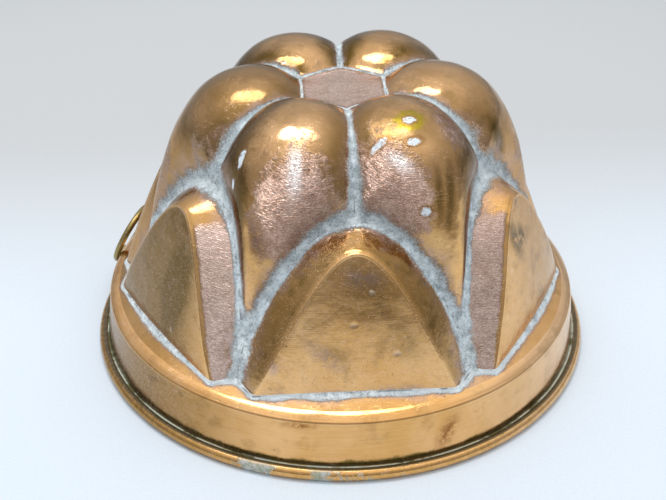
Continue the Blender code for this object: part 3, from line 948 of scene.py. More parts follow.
@dataclass
class RingMount:
    """The brass strap, bent round the ring's wire, and its two rivets.

    All is laid out in the strap's own frame: X out of the band, Y along the rim, Z up the band,
    with the origin on the ring's hinge axis.
    """

    ledge: Skirt
    azimuth: float = math.radians(159.0)
    pivot_height: float = 13.4 * MM
    ring_wire_radius: float = 1.5 * MM
    eye_radius: float = 2.0 * MM
    eye_standoff: float = 2.8 * MM
    thickness: float = 1.0 * MM
    width: float = 6.4 * MM
    tail: float = 5.4 * MM
    neck: float = 0.6 * MM
    shank_radius: float = 1.1 * MM
    head_radius: float = 2.1 * MM
    head_height: float = 1.1 * MM
    peened_radius: float = 1.8 * MM
    peened_height: float = 0.7 * MM
    underside: float = 0.06 * MM
    hammering: float = 0.12 * MM
    hammering_waves: float = 900.0
    rivet_steps: int = 32
    end_rounding: float = 0.392 * MM
    edge_squareness: float = 0.32
    strap_columns: int = 40
    strap_rows: int = 110
    heading_step: float = 0.004
    neck_steps: int = 8
    eye_steps: int = 24

    def __post_init__(self) -> None:
        """Works out where the hinge axis lies."""
        self.standoff = self.ledge.gap + self.eye_standoff + self.ring_wire_radius
        band = self.ledge.band_foot_radius
        band -= (self.pivot_height - self.ledge.roll_height) * math.tan(self.ledge.band_lean)
        self.pivot_radius = band + self.standoff / math.cos(self.ledge.band_lean)
        self.hinge = (
            Matrix.Translation(on_azimuth(self.pivot_radius, self.azimuth, self.pivot_height))
            @ Matrix.Rotation(self.azimuth, 4, "Z")
        )
        self.frame = self.hinge @ Matrix.Rotation(-self.ledge.band_lean, 4, "Y")
        self.rivet_up = self.eye_radius + self.thickness + (self.tail - self.thickness) / 2.0

    def strap_path(self) -> list[Vector]:
        """The middle of the strap's thickness, from its lower end round the eye to its upper."""
        back = self.ledge.gap + self.thickness / 2.0 - self.standoff
        around = self.eye_radius + self.thickness / 2.0
        foot, bend = Vector((back, 0.0, -around - self.neck)), Vector((back, 0.0, -around))
        into = Vector((back + self.neck, 0.0, -around))
        lower = [Vector((back, 0.0, -self.eye_radius - self.tail)), foot]
        lower += curve(foot, foot.lerp(bend, 0.6), into.lerp(bend, 0.6), into, samples=self.neck_steps)[1:]
        turns = [math.pi * share for share in even_shares(self.eye_steps)]
        eye = [Vector((around * math.sin(turn), 0.0, -around * math.cos(turn))) for turn in turns]
        return lower + eye + [Vector((point.x, 0.0, -point.z)) for point in reversed(lower)]

    def build_strap(self, material: bpy.types.Material) -> bpy.types.Object:
        """Makes the strap.

        Args:
            material: The brass.

        Returns:
            The strap, riding on the mould.
        """
        work = Workpiece()
        path = Course(self.strap_path())
        inset, step = self.end_rounding, self.heading_step

        def squared(value: float) -> float:
            """A sine or cosine pushed out towards the corner of a square."""
            return math.copysign(abs(value) ** self.edge_squareness, value)

        def place(around: float, along: float) -> Vector:
            """A point on the strap: around its rounded section and along its path."""
            from_end = min(along, 1.0 - along) * path.lengths[-1]
            short = inset - math.sqrt(max(inset**2 - (inset - min(from_end, inset)) ** 2, 0.0))
            aside = squared(math.cos(FULL_TURN * around)) * (self.width / 2.0 - short)
            off = squared(math.sin(FULL_TURN * around)) * (self.thickness / 2.0 - short * 0.5)
            ahead = path.at(min(along + step, 1.0)) - path.at(max(along - step, 0.0))
            normal = Vector((ahead.z, 0.0, -ahead.x)).normalized()
            return path.at(along) + normal * off + Vector((0.0, aside, 0.0))

        work.patch(self.strap_columns, self.strap_rows, place)
        work.weld()
        work.close_ends()
        work.place(self.frame)
        strap = work.finish("brass_strap", [material])
        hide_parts("ring_strap")
        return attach(strap, Body.MOULD.value)

    def build_rivet(self, name: str, up: float, material: bpy.types.Material) -> bpy.types.Object:
        """Makes one rivet: a domed head outside the strap and a hammered tail inside the band.

        Args:
            name: Which rivet it is, upper or lower.
            up: Its distance from the hinge axis, up the band.
            material: The brass.

        Returns:
            The rivet, riding on the mould.
        """
        head = self.ledge.gap + self.thickness - self.standoff + self.ledge.gap
        tail = -self.standoff - self.ledge.sheet - self.ledge.gap
        end, under_head = tail - self.peened_height, head - self.underside
        turns = [math.radians(turn) for turn in range(90, -1, -9)]
        dome = [(self.head_radius * math.cos(turn), self.head_height * math.sin(turn)) for turn in turns]
        profile = [
            *((radius, head + height) for radius, height in dome),
            (self.head_radius * 0.97, under_head),
            (self.shank_radius, under_head),
            (self.shank_radius, tail),
            (self.peened_radius * 0.93, tail),
            (self.peened_radius, tail - 0.14 * MM),
            (self.peened_radius * 0.92, end + 0.12 * MM),
            (self.peened_radius * 0.7, end),
            (0.0, end),
        ]
        work = Workpiece()
        work.line([Vector((radius, 0.0, height)) for radius, height in profile])
        work.turn(self.rivet_steps)
        own_pattern = UP * up * 400.0
        for vert in work.bm.verts:
            if vert.co.z > head:
                place = vert.co * self.hammering_waves + own_pattern
                vert.co.z -= self.hammering * abs(noise.noise(place))
        work.place(self.frame @ Matrix.Translation((0.0, 0.0, up)) @ Matrix.Rotation(math.pi / 2.0, 4, "Y"))
        rivet = work.finish(f"brass_rivet_{name}", [material])
        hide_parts(f"strap_rivet_{name}")
        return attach(rivet, Body.MOULD.value)

    def build(self, material: bpy.types.Material) -> list[bpy.types.Object]:
        """Makes the strap and both rivets.

        Args:
            material: The brass.

        Returns:
            The three pieces.
        """
        rivets = (("upper", self.rivet_up), ("lower", -self.rivet_up))
        return [self.build_strap(material), *(self.build_rivet(name, up, material) for name, up in rivets)]


@dataclass
class HangingRing:
    """The brass ring that the mould hangs from, resting on the ledge's edge."""

    mount: RingMount
    radius: float = 14.0 * MM
    rest_lean: float = math.radians(24.514)
    unevenness: float = 0.05 * MM
    wear_waves: float = 160.0
    knock_waves: float = 600.0
    corners: int = 28
    steps: int = 220

    def build(self, material: bpy.types.Material) -> bpy.types.Object:
        """Makes the ring.

        Args:
            material: The worn brass.

        Returns:
            The ring, riding on its own body.
        """
        work = Workpiece()
        wire = self.mount.ring_wire_radius
        work.hoop(Vector((self.radius, 0.0, 0.0)), wire, wire, self.corners, self.steps)
        for vert in work.bm.verts:
            middle = on_azimuth(self.radius, math.atan2(vert.co.y, vert.co.x), 0.0)
            worn = 0.5 + 0.5 * noise.noise(middle * self.wear_waves)
            worn += 0.4 * noise.noise(vert.co * self.knock_waves)
            vert.co -= (vert.co - middle).normalized() * self.unevenness * worn
        work.place(
            self.mount.hinge
            @ Matrix.Rotation(-self.rest_lean, 4, "Y")
            @ Matrix.Translation((0.0, 0.0, self.radius))
            @ Matrix.Rotation(math.pi / 2.0, 4, "Y")
        )
        ring = work.finish("brass_ring", [material])
        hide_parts("hanging_ring")
        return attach(ring, Body.RING.value)


class Wiring:
    """A node tree under way, with short ways to add the nodes that it uses most."""

    def __init__(self, tree: bpy.types.NodeTree) -> None:
        """Starts from an empty tree."""
        self.tree = tree
        tree.nodes.clear()

    def node(self, kind: str, *values: Value, **settings: object) -> bpy.types.Node:
        """Adds a node.

        Args:
            kind: The node's type.
            values: What goes into its first inputs: signals, plain values, or None to leave one be.
            settings: Properties of the node.

        Returns:
            The node.
        """
        made = self.tree.nodes.new(kind)
        for name, setting in settings.items():
            setattr(made, name, setting)
        for socket, value in zip(made.inputs, values):
            self.feed(socket, value)
        return made

    def feed(self, socket: bpy.types.NodeSocket, value: Value) -> None:
        """Links or sets one input."""
        if isinstance(value, Signal):
            self.tree.links.new(value.socket, socket)
        elif isinstance(value, tuple) and socket.type == "RGBA":
            socket.default_value = (*value, 1.0)
        elif value is not None:
            socket.default_value = value

    def signal(self, kind: str, *values: Value, output: str | int = 0, **settings: object) -> Signal:
        """Adds a node and gives back one of its outputs."""
        return Signal(self.node(kind, *values, **settings).outputs[output], self)

    def maths(self, operation: str, *values: Value) -> Signal:
        """The result of one sum."""
        return self.signal("ShaderNodeMath", *values, operation=operation)

    def vector(self, operation: str, *values: Value) -> Signal:
        """The vector that one sum with vectors gives."""
        return self.signal("ShaderNodeVectorMath", *values, operation=operation)

    def number(self, operation: str, *values: Value) -> Signal:
        """The number that one sum with vectors gives."""
        return self.signal("ShaderNodeVectorMath", *values, output="Value", operation=operation)

    def axis(self, place: Value, letter: str) -> Signal:
        """One axis of a place."""
        return self.signal("ShaderNodeSeparateXYZ", place, output=letter)

    def pair(self, first: Value, second: Value) -> Signal:
        """A flat place made of two numbers."""
        return self.signal("ShaderNodeCombineXYZ", first, second)

    def scaled(self, place: Value, waves: Triple, turn: Triple = (0.0, 0.0, 0.0)) -> Signal:
        """A place turned and then stretched, so that a texture gets so many waves to a metre each way."""
        sizes = tuple(1.0 / count for count in waves)
        return self.signal("ShaderNodeMapping", place, None, turn, sizes, vector_type="TEXTURE")

    def noise(self, place: Value, waves: float, detail: float = 3.0, roughness: float = 0.55) -> Signal:
        """Cloudy noise round 0.5."""
        return self.signal("ShaderNodeTexNoise", place, None, waves, detail, roughness, output="Fac")

    def mix(self, share: Value, first: Value, second: Value, blend: str = "MIX") -> Signal:
        """Two colours blended."""
        made = self.node("ShaderNodeMix", share, data_type="RGBA", blend_type=blend)
        self.feed(made.inputs[6], first)
        self.feed(made.inputs[7], second)
        return Signal(made.outputs[2], self)

    def layers(self, colour: Value, *coats: tuple[Value, Value]) -> Signal:
        """A colour under several coats.

        Args:
            colour: The lowest colour.
            coats: From the lowest up, how much of each coat there is and its colour.

        Returns:
            The colour that is seen.
        """
        for share, coat in coats:
            colour = self.mix(share, colour, coat)
        return colour

    def mark(self, mark: Mark) -> Signal:
        """A value stored in the mesh."""
        return self.signal("ShaderNodeAttribute", output="Fac", attribute_name=mark.value)

    def effect(self, group: bpy.types.NodeTree, *values: Value) -> list[Signal]:
        """Places a shared effect and gives back its results in order."""
        made = self.tree.nodes.new("ShaderNodeGroup")
        made.node_tree = group
        for socket, value in zip(made.inputs, values):
            self.feed(socket, value)
        return [Signal(socket, self) for socket in made.outputs]


@dataclass(frozen=True)
class Signal:
    """What one socket gives over the surface, with the sums that it can go into."""

    socket: bpy.types.NodeSocket
    wiring: Wiring

    def __add__(self, other: Value) -> Signal:
        """The two added."""
        return self.wiring.maths("ADD", self, other)

    def __sub__(self, other: Value) -> Signal:
        """What this is above the other."""
        return self.wiring.maths("SUBTRACT", self, other)

    def __rsub__(self, other: Value) -> Signal:
        """What the other is above this."""
        return self.wiring.maths("SUBTRACT", other, self)

    def __mul__(self, other: Value) -> Signal:
        """The two multiplied, as for one mask within another."""
        return self.wiring.maths("MULTIPLY", self, other)

    def __truediv__(self, other: Value) -> Signal:
        """How often the other goes into this."""
        return self.wiring.maths("DIVIDE", self, other)

    def __abs__(self) -> Signal:
        """This without its sign."""
        return self.wiring.maths("ABSOLUTE", self)

    def root(self) -> Signal:
        """The square root."""
        return self.wiring.maths("SQRT", self)

    def up_to(self, limit: float) -> Signal:
        """This, held at a limit."""
        return self.wiring.maths("MINIMUM", self, limit)

    def ease(self, start: Value, end: Value, low: Value = 0.0, high: Value = 1.0) -> Signal:
        """This, carried smoothly from the range start to end to the range low to high."""
        ranges = (start, end, low, high)
        return self.wiring.signal("ShaderNodeMapRange", self, *ranges, interpolation_type="SMOOTHSTEP")

    __radd__ = __add__


Value = Signal | float | tuple[float, ...] | None


def most(*signals: Signal | float) -> Signal:
    """The greatest of several signals, place by place."""
    return reduce(lambda one, other: one.wiring.maths("MAXIMUM", one, other), signals)


class Effect(Wiring):
    """A shared effect under way, as a node group that the finishes place."""

    def __init__(self, name: str, *takes: str) -> None:
        """Starts the group.

        Args:
            name: The group's name.
            takes: The names of its inputs.
        """
        super().__init__(bpy.data.node_groups.new(name, "ShaderNodeTree"))
        for taken in takes:
            kind = "NodeSocketVector" if taken in ("Place", "Centre", "Way") else "NodeSocketFloat"
            self.tree.interface.new_socket(name=taken, in_out="INPUT", socket_type=kind)
        entry = self.node("NodeGroupInput")
        self.takes = [Signal(entry.outputs[taken], self) for taken in takes]

    def give(self, **results: Signal) -> bpy.types.NodeTree:
        """Puts out the results under their names.

        Args:
            results: The masks and values that the effect makes.

        Returns:
            The finished group.
        """
        for name in results:
            self.tree.interface.new_socket(name=name, in_out="OUTPUT", socket_type="NodeSocketFloat")
        self.node("NodeGroupOutput", *results.values())
        return self.tree


class Effects:
    """The shared effects that several finishes are made of."""

    def __init__(self) -> None:
        """Makes each effect once."""
        self.hairlines = self.make_hairlines()
        self.brushing = self.make_brushing()
        self.deposit = self.make_deposit()
        self.mottle = self.make_mottle()
        self.pits = self.make_pits()
        self.spot = self.make_spot()

    @staticmethod
    def make_hairlines() -> bpy.types.NodeTree:
        """Thin scratches that run in several directions, more of them in some places."""
        group = Effect("Hairlines", "Place")
        (place,) = group.takes
        lines = []
        for turn, waves, width in (
            ((0.3, 0.2, 0.4), (620.0, 620.0, 22.0), 0.010),
            ((1.2, 0.5, 0.1), (24.0, 700.0, 560.0), 0.008),
            ((0.1, 0.9, 1.9), (700.0, 26.0, 620.0), 0.008),
            ((0.8, 2.1, 0.7), (420.0, 440.0, 12.0), 0.006),
        ):
            off_line = abs(group.noise(group.scaled(place, waves, turn), 1.0, 1.0, 0.4) - 0.5)
            here = group.noise(group.scaled(place, (95.0, 95.0, 95.0), turn), 1.0, 2.0)
            lines.append(off_line.ease(width, 0.0) * here.ease(0.53, 0.70))
        return group.give(Lines=most(*lines))

    @staticmethod
    def make_brushing() -> bpy.types.NodeTree:
        """Close, fine brush marks that run level round the mould, short crossed ones from scrubbing, and a
        speckle for painted glints.
        """
        group = Effect("Brushing", "Place")
        (place,) = group.takes
        level = group.scaled(place, (70.0, 70.0, 2600.0))
        one = group.scaled(place, (340.0, 340.0, 2900.0), (0.45, 0.32, 0.0))
        other = group.scaled(place, (360.0, 360.0, 3100.0), (-0.50, -0.38, 0.3))
        upright = group.scaled(place, (2700.0, 2700.0, 260.0), (0.15, -0.2, 0.0))
        groove = group.scaled(place, (380.0, 380.0, 4600.0), (0.22, 0.14, 0.0))
        one, other, upright = (group.noise(way, 1.0, 2.0, 0.6) for way in (one, other, upright))
        return group.give(
            Level=group.noise(level, 1.0, 3.0, 0.6),
            Scrub=most(one, other, upright - 0.02),
            # A fine speckle that the crown paints pale as glints in its scoured patches.
            Spark=group.noise(place, 1500.0, 2.0).ease(0.52, 0.68),
            Groove=group.noise(groove, 1.0, 1.0),
        )

    @staticmethod
    def make_deposit() -> bpy.types.NodeTree:
        """Pale polish residue dusted along a crease, hairy at its border, with dark specks and a brown halo.

        Away and Along say how far a place lies from the crease and along it, and Width how far the
        residue reaches, all in millimetres. Spread is how many widths it thins out over.
        """
        group = Effect("Deposit", "Place", "Away", "Along", "Width", "Spread")
        place, away, along, width, spread = group.takes
        hair = group.noise(group.pair(along * 2.1, away * 0.40), 1.0, 4.0, 0.75)
        streak = group.noise(group.pair(along * 0.35, away * 2.2), 1.0, 3.0, 0.7)
        thin = group.noise(place, 1300.0, 4.0, 0.8)
        share = away / (width * group.noise(place, 90.0, 3.0).ease(0.30, 0.70, 0.72, 1.28))
        thick = share.ease(spread, 0.35)
        tone = streak * 0.6 + thin * 1.4 + thick * 0.30 + group.noise(place, 260.0, 2.0) * 0.9
        speck = group.noise(place, 800.0, 4.0, 0.8).ease(0.58, 0.66)
        border = share.ease(1.7, 0.8) * group.noise(place, 110.0, 2.0).ease(0.40, 0.60)
        seam = (hair * 0.9 + away).ease(0.90, 0.45) * group.noise(place, 160.0, 3.0).ease(0.50, 0.62)
        return group.give(
            Chalk=(thick * 1.15 + hair * 0.8 + thin * 1.9).ease(1.55, 2.30),
            Tone=tone.ease(1.16, 1.92),
            Halo=(hair * 1.2 + share).ease(spread * 1.35 + 1.4, 1.3),
            Grime=most(seam, speck * border),
        )

    @staticmethod
    def make_mottle() -> bpy.types.NodeTree:
        """Broad and fine unevenness, and blotches with soft borders."""
        group = Effect("Mottle", "Place")
        (place,) = group.takes
        return group.give(
            Broad=group.noise(place, 38.0, 4.0, 0.6).ease(0.3, 0.7),
            Fine=group.noise(place, 480.0, 4.0, 0.65),
            Blotch=group.noise(place, 88.0, 5.0, 0.62).ease(0.53, 0.66),
        )

    @staticmethod
    def make_pits() -> bpy.types.NodeTree:
        """Scattered dark pin pricks."""
        group = Effect("Pits", "Place")
        (place,) = group.takes
        away = group.signal("ShaderNodeTexVoronoi", place, None, 210.0, output="Distance")
        return group.give(Pits=away.ease(0.09, 0.04) * group.noise(place, 60.0, 2.0).ease(0.5, 0.64))

    @staticmethod
    def make_spot() -> bpy.types.NodeTree:
        """One long or round spot with a ragged border, a rim round it and a soft hollow under it."""
        group = Effect("Spot", "Place", "Centre", "Way", "Length", "Width")
        place, centre, way, length, width = group.takes
        off = group.vector("SUBTRACT", place, centre)
        along = group.number("DOT_PRODUCT", off, way)
        aside = most(group.number("DOT_PRODUCT", off, off) - along * along, 0.0).root()
        far, wide = along / length, aside / width
        reach = (far * far + wide * wide).root()
        ragged = reach + (group.noise(place, 330.0, 5.0, 0.75) - 0.5) * 2.4
        core = ragged.ease(1.2, 0.7)
        return group.give(Core=core, Rim=ragged.ease(2.0, 1.2) - core, Hollow=reach.ease(1.5, 0.0))


@dataclass(frozen=True)
class Metal:
    """The colours and smoothness of one metal."""

    bright: Colour
    deep: Colour
    tarnish: Colour
    scoured: Colour
    smooth: float


COPPER = Metal(
    bright=(0.90, 0.53, 0.23),
    deep=(0.78, 0.42, 0.14),
    tarnish=(0.155, 0.088, 0.014),
    scoured=(0.96, 0.68, 0.55),
    smooth=0.115,
)
BRASS = Metal(
    bright=(0.72, 0.55, 0.24),
    deep=(0.52, 0.38, 0.14),
    tarnish=(0.22, 0.17, 0.07),
    scoured=(0.80, 0.66, 0.36),
    smooth=0.24,
)
COPPER_HALO: Colour = (0.50, 0.34, 0.29)
CHALK: Colour = (0.56, 0.62, 0.64)
GRIME: Colour = (0.035, 0.032, 0.027)
VERDIGRIS: Colour = (0.30, 0.38, 0.29)


@dataclass(frozen=True)
class CrownColours:
    """The colours that lie over the crown's copper."""

    upper_bright: Colour = (0.67, 0.41, 0.205)
    upper_deep: Colour = (0.55, 0.315, 0.13)
    # Painted shade: the deep olive brown laid on the lobes' flanks towards the front.
    flank_shade_colour: Colour = (0.085, 0.045, 0.006)
    scour_border: Colour = (0.36, 0.22, 0.15)
    scour_deep: Colour = (0.36, 0.21, 0.155)
    scour_pale: Colour = (0.56, 0.37, 0.29)
    # Painted glints and sheen on the scoured metal.
    scour_spark: Colour = (1.0, 0.78, 0.69)
    # Painted highlight: the pale pink-white of the lamp's reflection in scoured copper.
    painted_gleam: Colour = (1.0, 0.93, 0.90)
    # A brown smear, partly painted shade.
    brown: Colour = (0.26, 0.14, 0.09)
    mauve: Colour = (0.46, 0.32, 0.28)
    spot_rim: Colour = (0.26, 0.12, 0.03)
    # Pale bluish white of the spots.
    pale_spot_white: Colour = (0.82, 0.90, 0.95)
    olive_ring: Colour = (0.40, 0.30, 0.02)
    # Rubbed wear and a painted highlight along the panels' sharp edges.
    rubbed_and_highlit_edge: Colour = (0.95, 0.68, 0.42)
    # Painted glint: pale flecks in the dents.
    ding: Colour = (1.0, 0.86, 0.74)
    chalk_deep: Colour = (0.20, 0.27, 0.30)
    chalk_pale: Colour = (0.88, 0.97, 1.0)


class SpotPart(Enum):
    """What is read of a spot: its middle, the rim round it or a soft hollow; by its place in the effect."""

    CORE = 0
    RIM = 1
    HOLLOW = 2


@dataclass(frozen=True)
class Spot:
    """A spot on the crown: its centre and half sizes in millimetres, and the way that it runs."""

    centre: tuple[float, float, float]
    way: tuple[float, float, float]
    length: float
    width: float
    rim: float = 1.0


PALE_SPOTS = (
    Spot((-41.2, -46.4, 110.4), (-0.31, -0.46, -0.83), 4.2, 1.5, 0.35),
    Spot((-44.7, -47.5, 99.7), (-0.10, -0.30, -0.95), 2.0, 0.9, 0.3),
    Spot((23.5, -42.9, 122.8), (0.98, 0.18, 0.0), 2.7, 1.7, 0.45),
    Spot((10.5, -51.6, 116.7), (0.72, 0.33, 0.61), 4.2, 1.4, 0.6),
    Spot((24.4, -51.7, 118.2), (0.94, 0.33, 0.07), 2.8, 1.4, 0.6),
    Spot((27.8, -65.2, 95.4), (0.10, 0.0, -1.0), 1.9, 1.7, 0.6),
)
OLIVE_RING = Spot((23.5, -42.9, 122.8), (0.98, 0.18, 0.0), 3.9, 3.1)
MAUVE_SMEARS = (
    Spot((-11.7, -88.6, 45.6), (0.76, -0.16, -0.62), 10.0, 3.2),
    Spot((3.0, -80.4, 76.0), (0.95, 0.0, -0.25), 9.0, 4.2),
    Spot((-31.5, -87.8, 41.0), (0.4, -0.1, 0.9), 5.0, 2.4),
    Spot((15.0, -92.0, 31.0), (1.0, 0.0, 0.0), 13.0, 2.4),
    Spot((39.0, -40.0, 117.5), (0.80, 0.20, -0.50), 8.0, 3.6),
)
DARK_STAINS = (
    Spot((67.2, -48.0, 70.5), (0.38, 0.16, -0.91), 11.0, 4.6),
    Spot((71.0, -43.6, 69.0), (0.38, 0.16, -0.91), 6.0, 4.0),
    Spot((35.4, -98.0, 14.5), (-0.40, -0.30, -0.86), 8.5, 3.6),
    Spot((-22.5, -101.0, 22.8), (0.97, -0.20, 0.0), 9.0, 1.6),
    Spot((37.2, -60.0, 100.0), (-0.02, -0.50, -0.86), 17.0, 2.4),
    Spot((33.0, -61.5, 101.4), (0.07, -0.43, -0.90), 10.0, 2.0),
    Spot((63.0, -18.5, 101.0), (0.30, 0.15, -0.94), 12.0, 4.4),
)
OLIVE_CLOUDS = (
    Spot((7.0, -82.5, 68.0), (0.55, 0.0, -0.83), 14.0, 9.0),
    Spot((19.0, -86.3, 51.0), (0.50, 0.0, -0.87), 11.0, 7.0),
    Spot((-8.0, -88.0, 46.0), (0.9, 0.0, -0.3), 8.0, 5.0),
    Spot((-69.0, -52.0, 55.0), (0.2, 0.0, 1.0), 18.0, 9.0),
)
# Painted highlights, where the lamp's broad reflection falls in the front lobes' scoured patches.
PAINTED_GLEAMS = (
    Spot((-21.2, -59.0, 111.0), (-0.05, -0.53, -0.85), 10.0, 3.0),
    Spot((18.6, -58.0, 112.8), (0.80, -0.41, -0.45), 5.5, 3.2),
)
# A brown smear on the front-left lobe, partly painted shade beside the scoured patch's painted sheen.
BROWN_SMEAR_AND_SHADE = Spot((-36.5, -66.0, 86.0), (0.25, -0.51, -0.82), 11.0, 4.4)
DULL_FILMS = (
    Spot((13.0, -45.5, 121.0), (0.95, 0.0, -0.2), 11.0, 8.0),
    Spot((26.0, -46.0, 120.0), (0.8, 0.0, -0.4), 9.0, 6.0),
)
DINGS = (
    Spot((-22.6, -46.6, 121.3), (1.0, 0.0, 0.0), 2.4, 1.9),
    Spot((6.4, -81.7, 70.3), (1.0, 0.0, 0.0), 1.2, 1.1),
    Spot((-0.6, -85.4, 58.4), (1.0, 0.0, 0.0), 1.5, 1.2),
    Spot((15.9, -87.8, 46.1), (1.0, 0.0, 0.0), 1.6, 1.4),
    Spot((65.1, -56.6, 60.4), (0.0, 0.0, 1.0), 1.2, 1.2),
    Spot((-22.9, 17.1, 120.8), (1.0, 0.0, 0.0), 1.2, 0.8),
    Spot((77.4, -4.7, 81.5), (0.0, 0.0, 1.0), 1.1, 0.9),
    Spot((-72.9, -54.9, 37.0), (0.0, 0.0, 1.0), 1.2, 1.1),
    Spot((30.0, 84.0, 55.0), (0.0, 0.0, 1.0), 1.4, 1.2),
    Spot((-52.0, 74.0, 60.0), (0.0, 0.0, 1.0), 1.4, 1.2),
)


class Finish(Wiring):
    """A material under way: its nodes and its Principled shader."""

    def __init__(self, name: str, effects: Effects) -> None:
        """Starts the material.

        Args:
            name: The material's name.
            effects: The shared effects.
        """
        self.material = bpy.data.materials.new(name)
        self.material.use_nodes = True
        super().__init__(self.material.node_tree)
        self.effects = effects
        self.shader = self.node("ShaderNodeBsdfPrincipled")
        self.node("ShaderNodeOutputMaterial", Signal(self.shader.outputs[0], self))
        self.place = self.signal("ShaderNodeTexCoord", output="Object")

    def give(self, **inputs: Value) -> None:
        """Feeds the shader's inputs, named with _ for each space."""
        for name, value in inputs.items():
            self.feed(self.shader.inputs[name.replace("_", " ")], value)

    def read(self, group: bpy.types.NodeTree, finer: float = 1.0) -> list[Signal]:
        """The results of a shared effect over the surface, its pattern made finer by that factor."""
        place = self.place if finer == 1.0 else self.scaled(self.place, (finer, finer, finer))
        return self.effect(group, place)

    def spots(self, *spots: Spot, part: SpotPart = SpotPart.HOLLOW) -> Signal:
        """A mask of several spots together.

        Args:
            spots: The spots.
            part: What is read of them.

        Returns:
            The mask.
        """
        shares = []
        for spot in spots:
            centre, sizes = tuple(value * MM for value in spot.centre), (spot.length * MM, spot.width * MM)
            share = self.effect(self.effects.spot, self.place, centre, spot.way, *sizes)[part.value]
            shares.append(share * spot.rim if part is SpotPart.RIM else share)
        return most(*shares)

    def towards(self, azimuth: float, start: float = 0.80, end: float = 0.92) -> Signal:
        """How much a place lies on one side of the mould.

        Args:
            azimuth: The middle of that side, in degrees round from +X.
            start: Cosine of the angle at which it begins.
            end: Cosine of the angle within which it is whole.

        Returns:
            A mask, 1 within the side.
        """
        level = self.vector("NORMALIZE", self.vector("MULTIPLY", self.place, (1.0, 1.0, 0.0)))
        way = tuple(on_azimuth(1.0, math.radians(azimuth), 0.0))
        return self.number("DOT_PRODUCT", level, way).ease(start, end)

    def relief(self, *layers: tuple[Value, float, float]) -> Signal:
        """A normal roughened by several heights, each laid over the one before.

        Args:
            layers: Each height from 0 to 1, how far 1 stands up, and how much of it shows.

        Returns:
            The normal.
        """
        normal = None
        for height, distance, strength in layers:
            made = self.node("ShaderNodeBump", strength, distance)
            self.feed(made.inputs["Height"], height)
            self.feed(made.inputs["Normal"], normal)
            normal = Signal(made.outputs[0], self)
        return normal


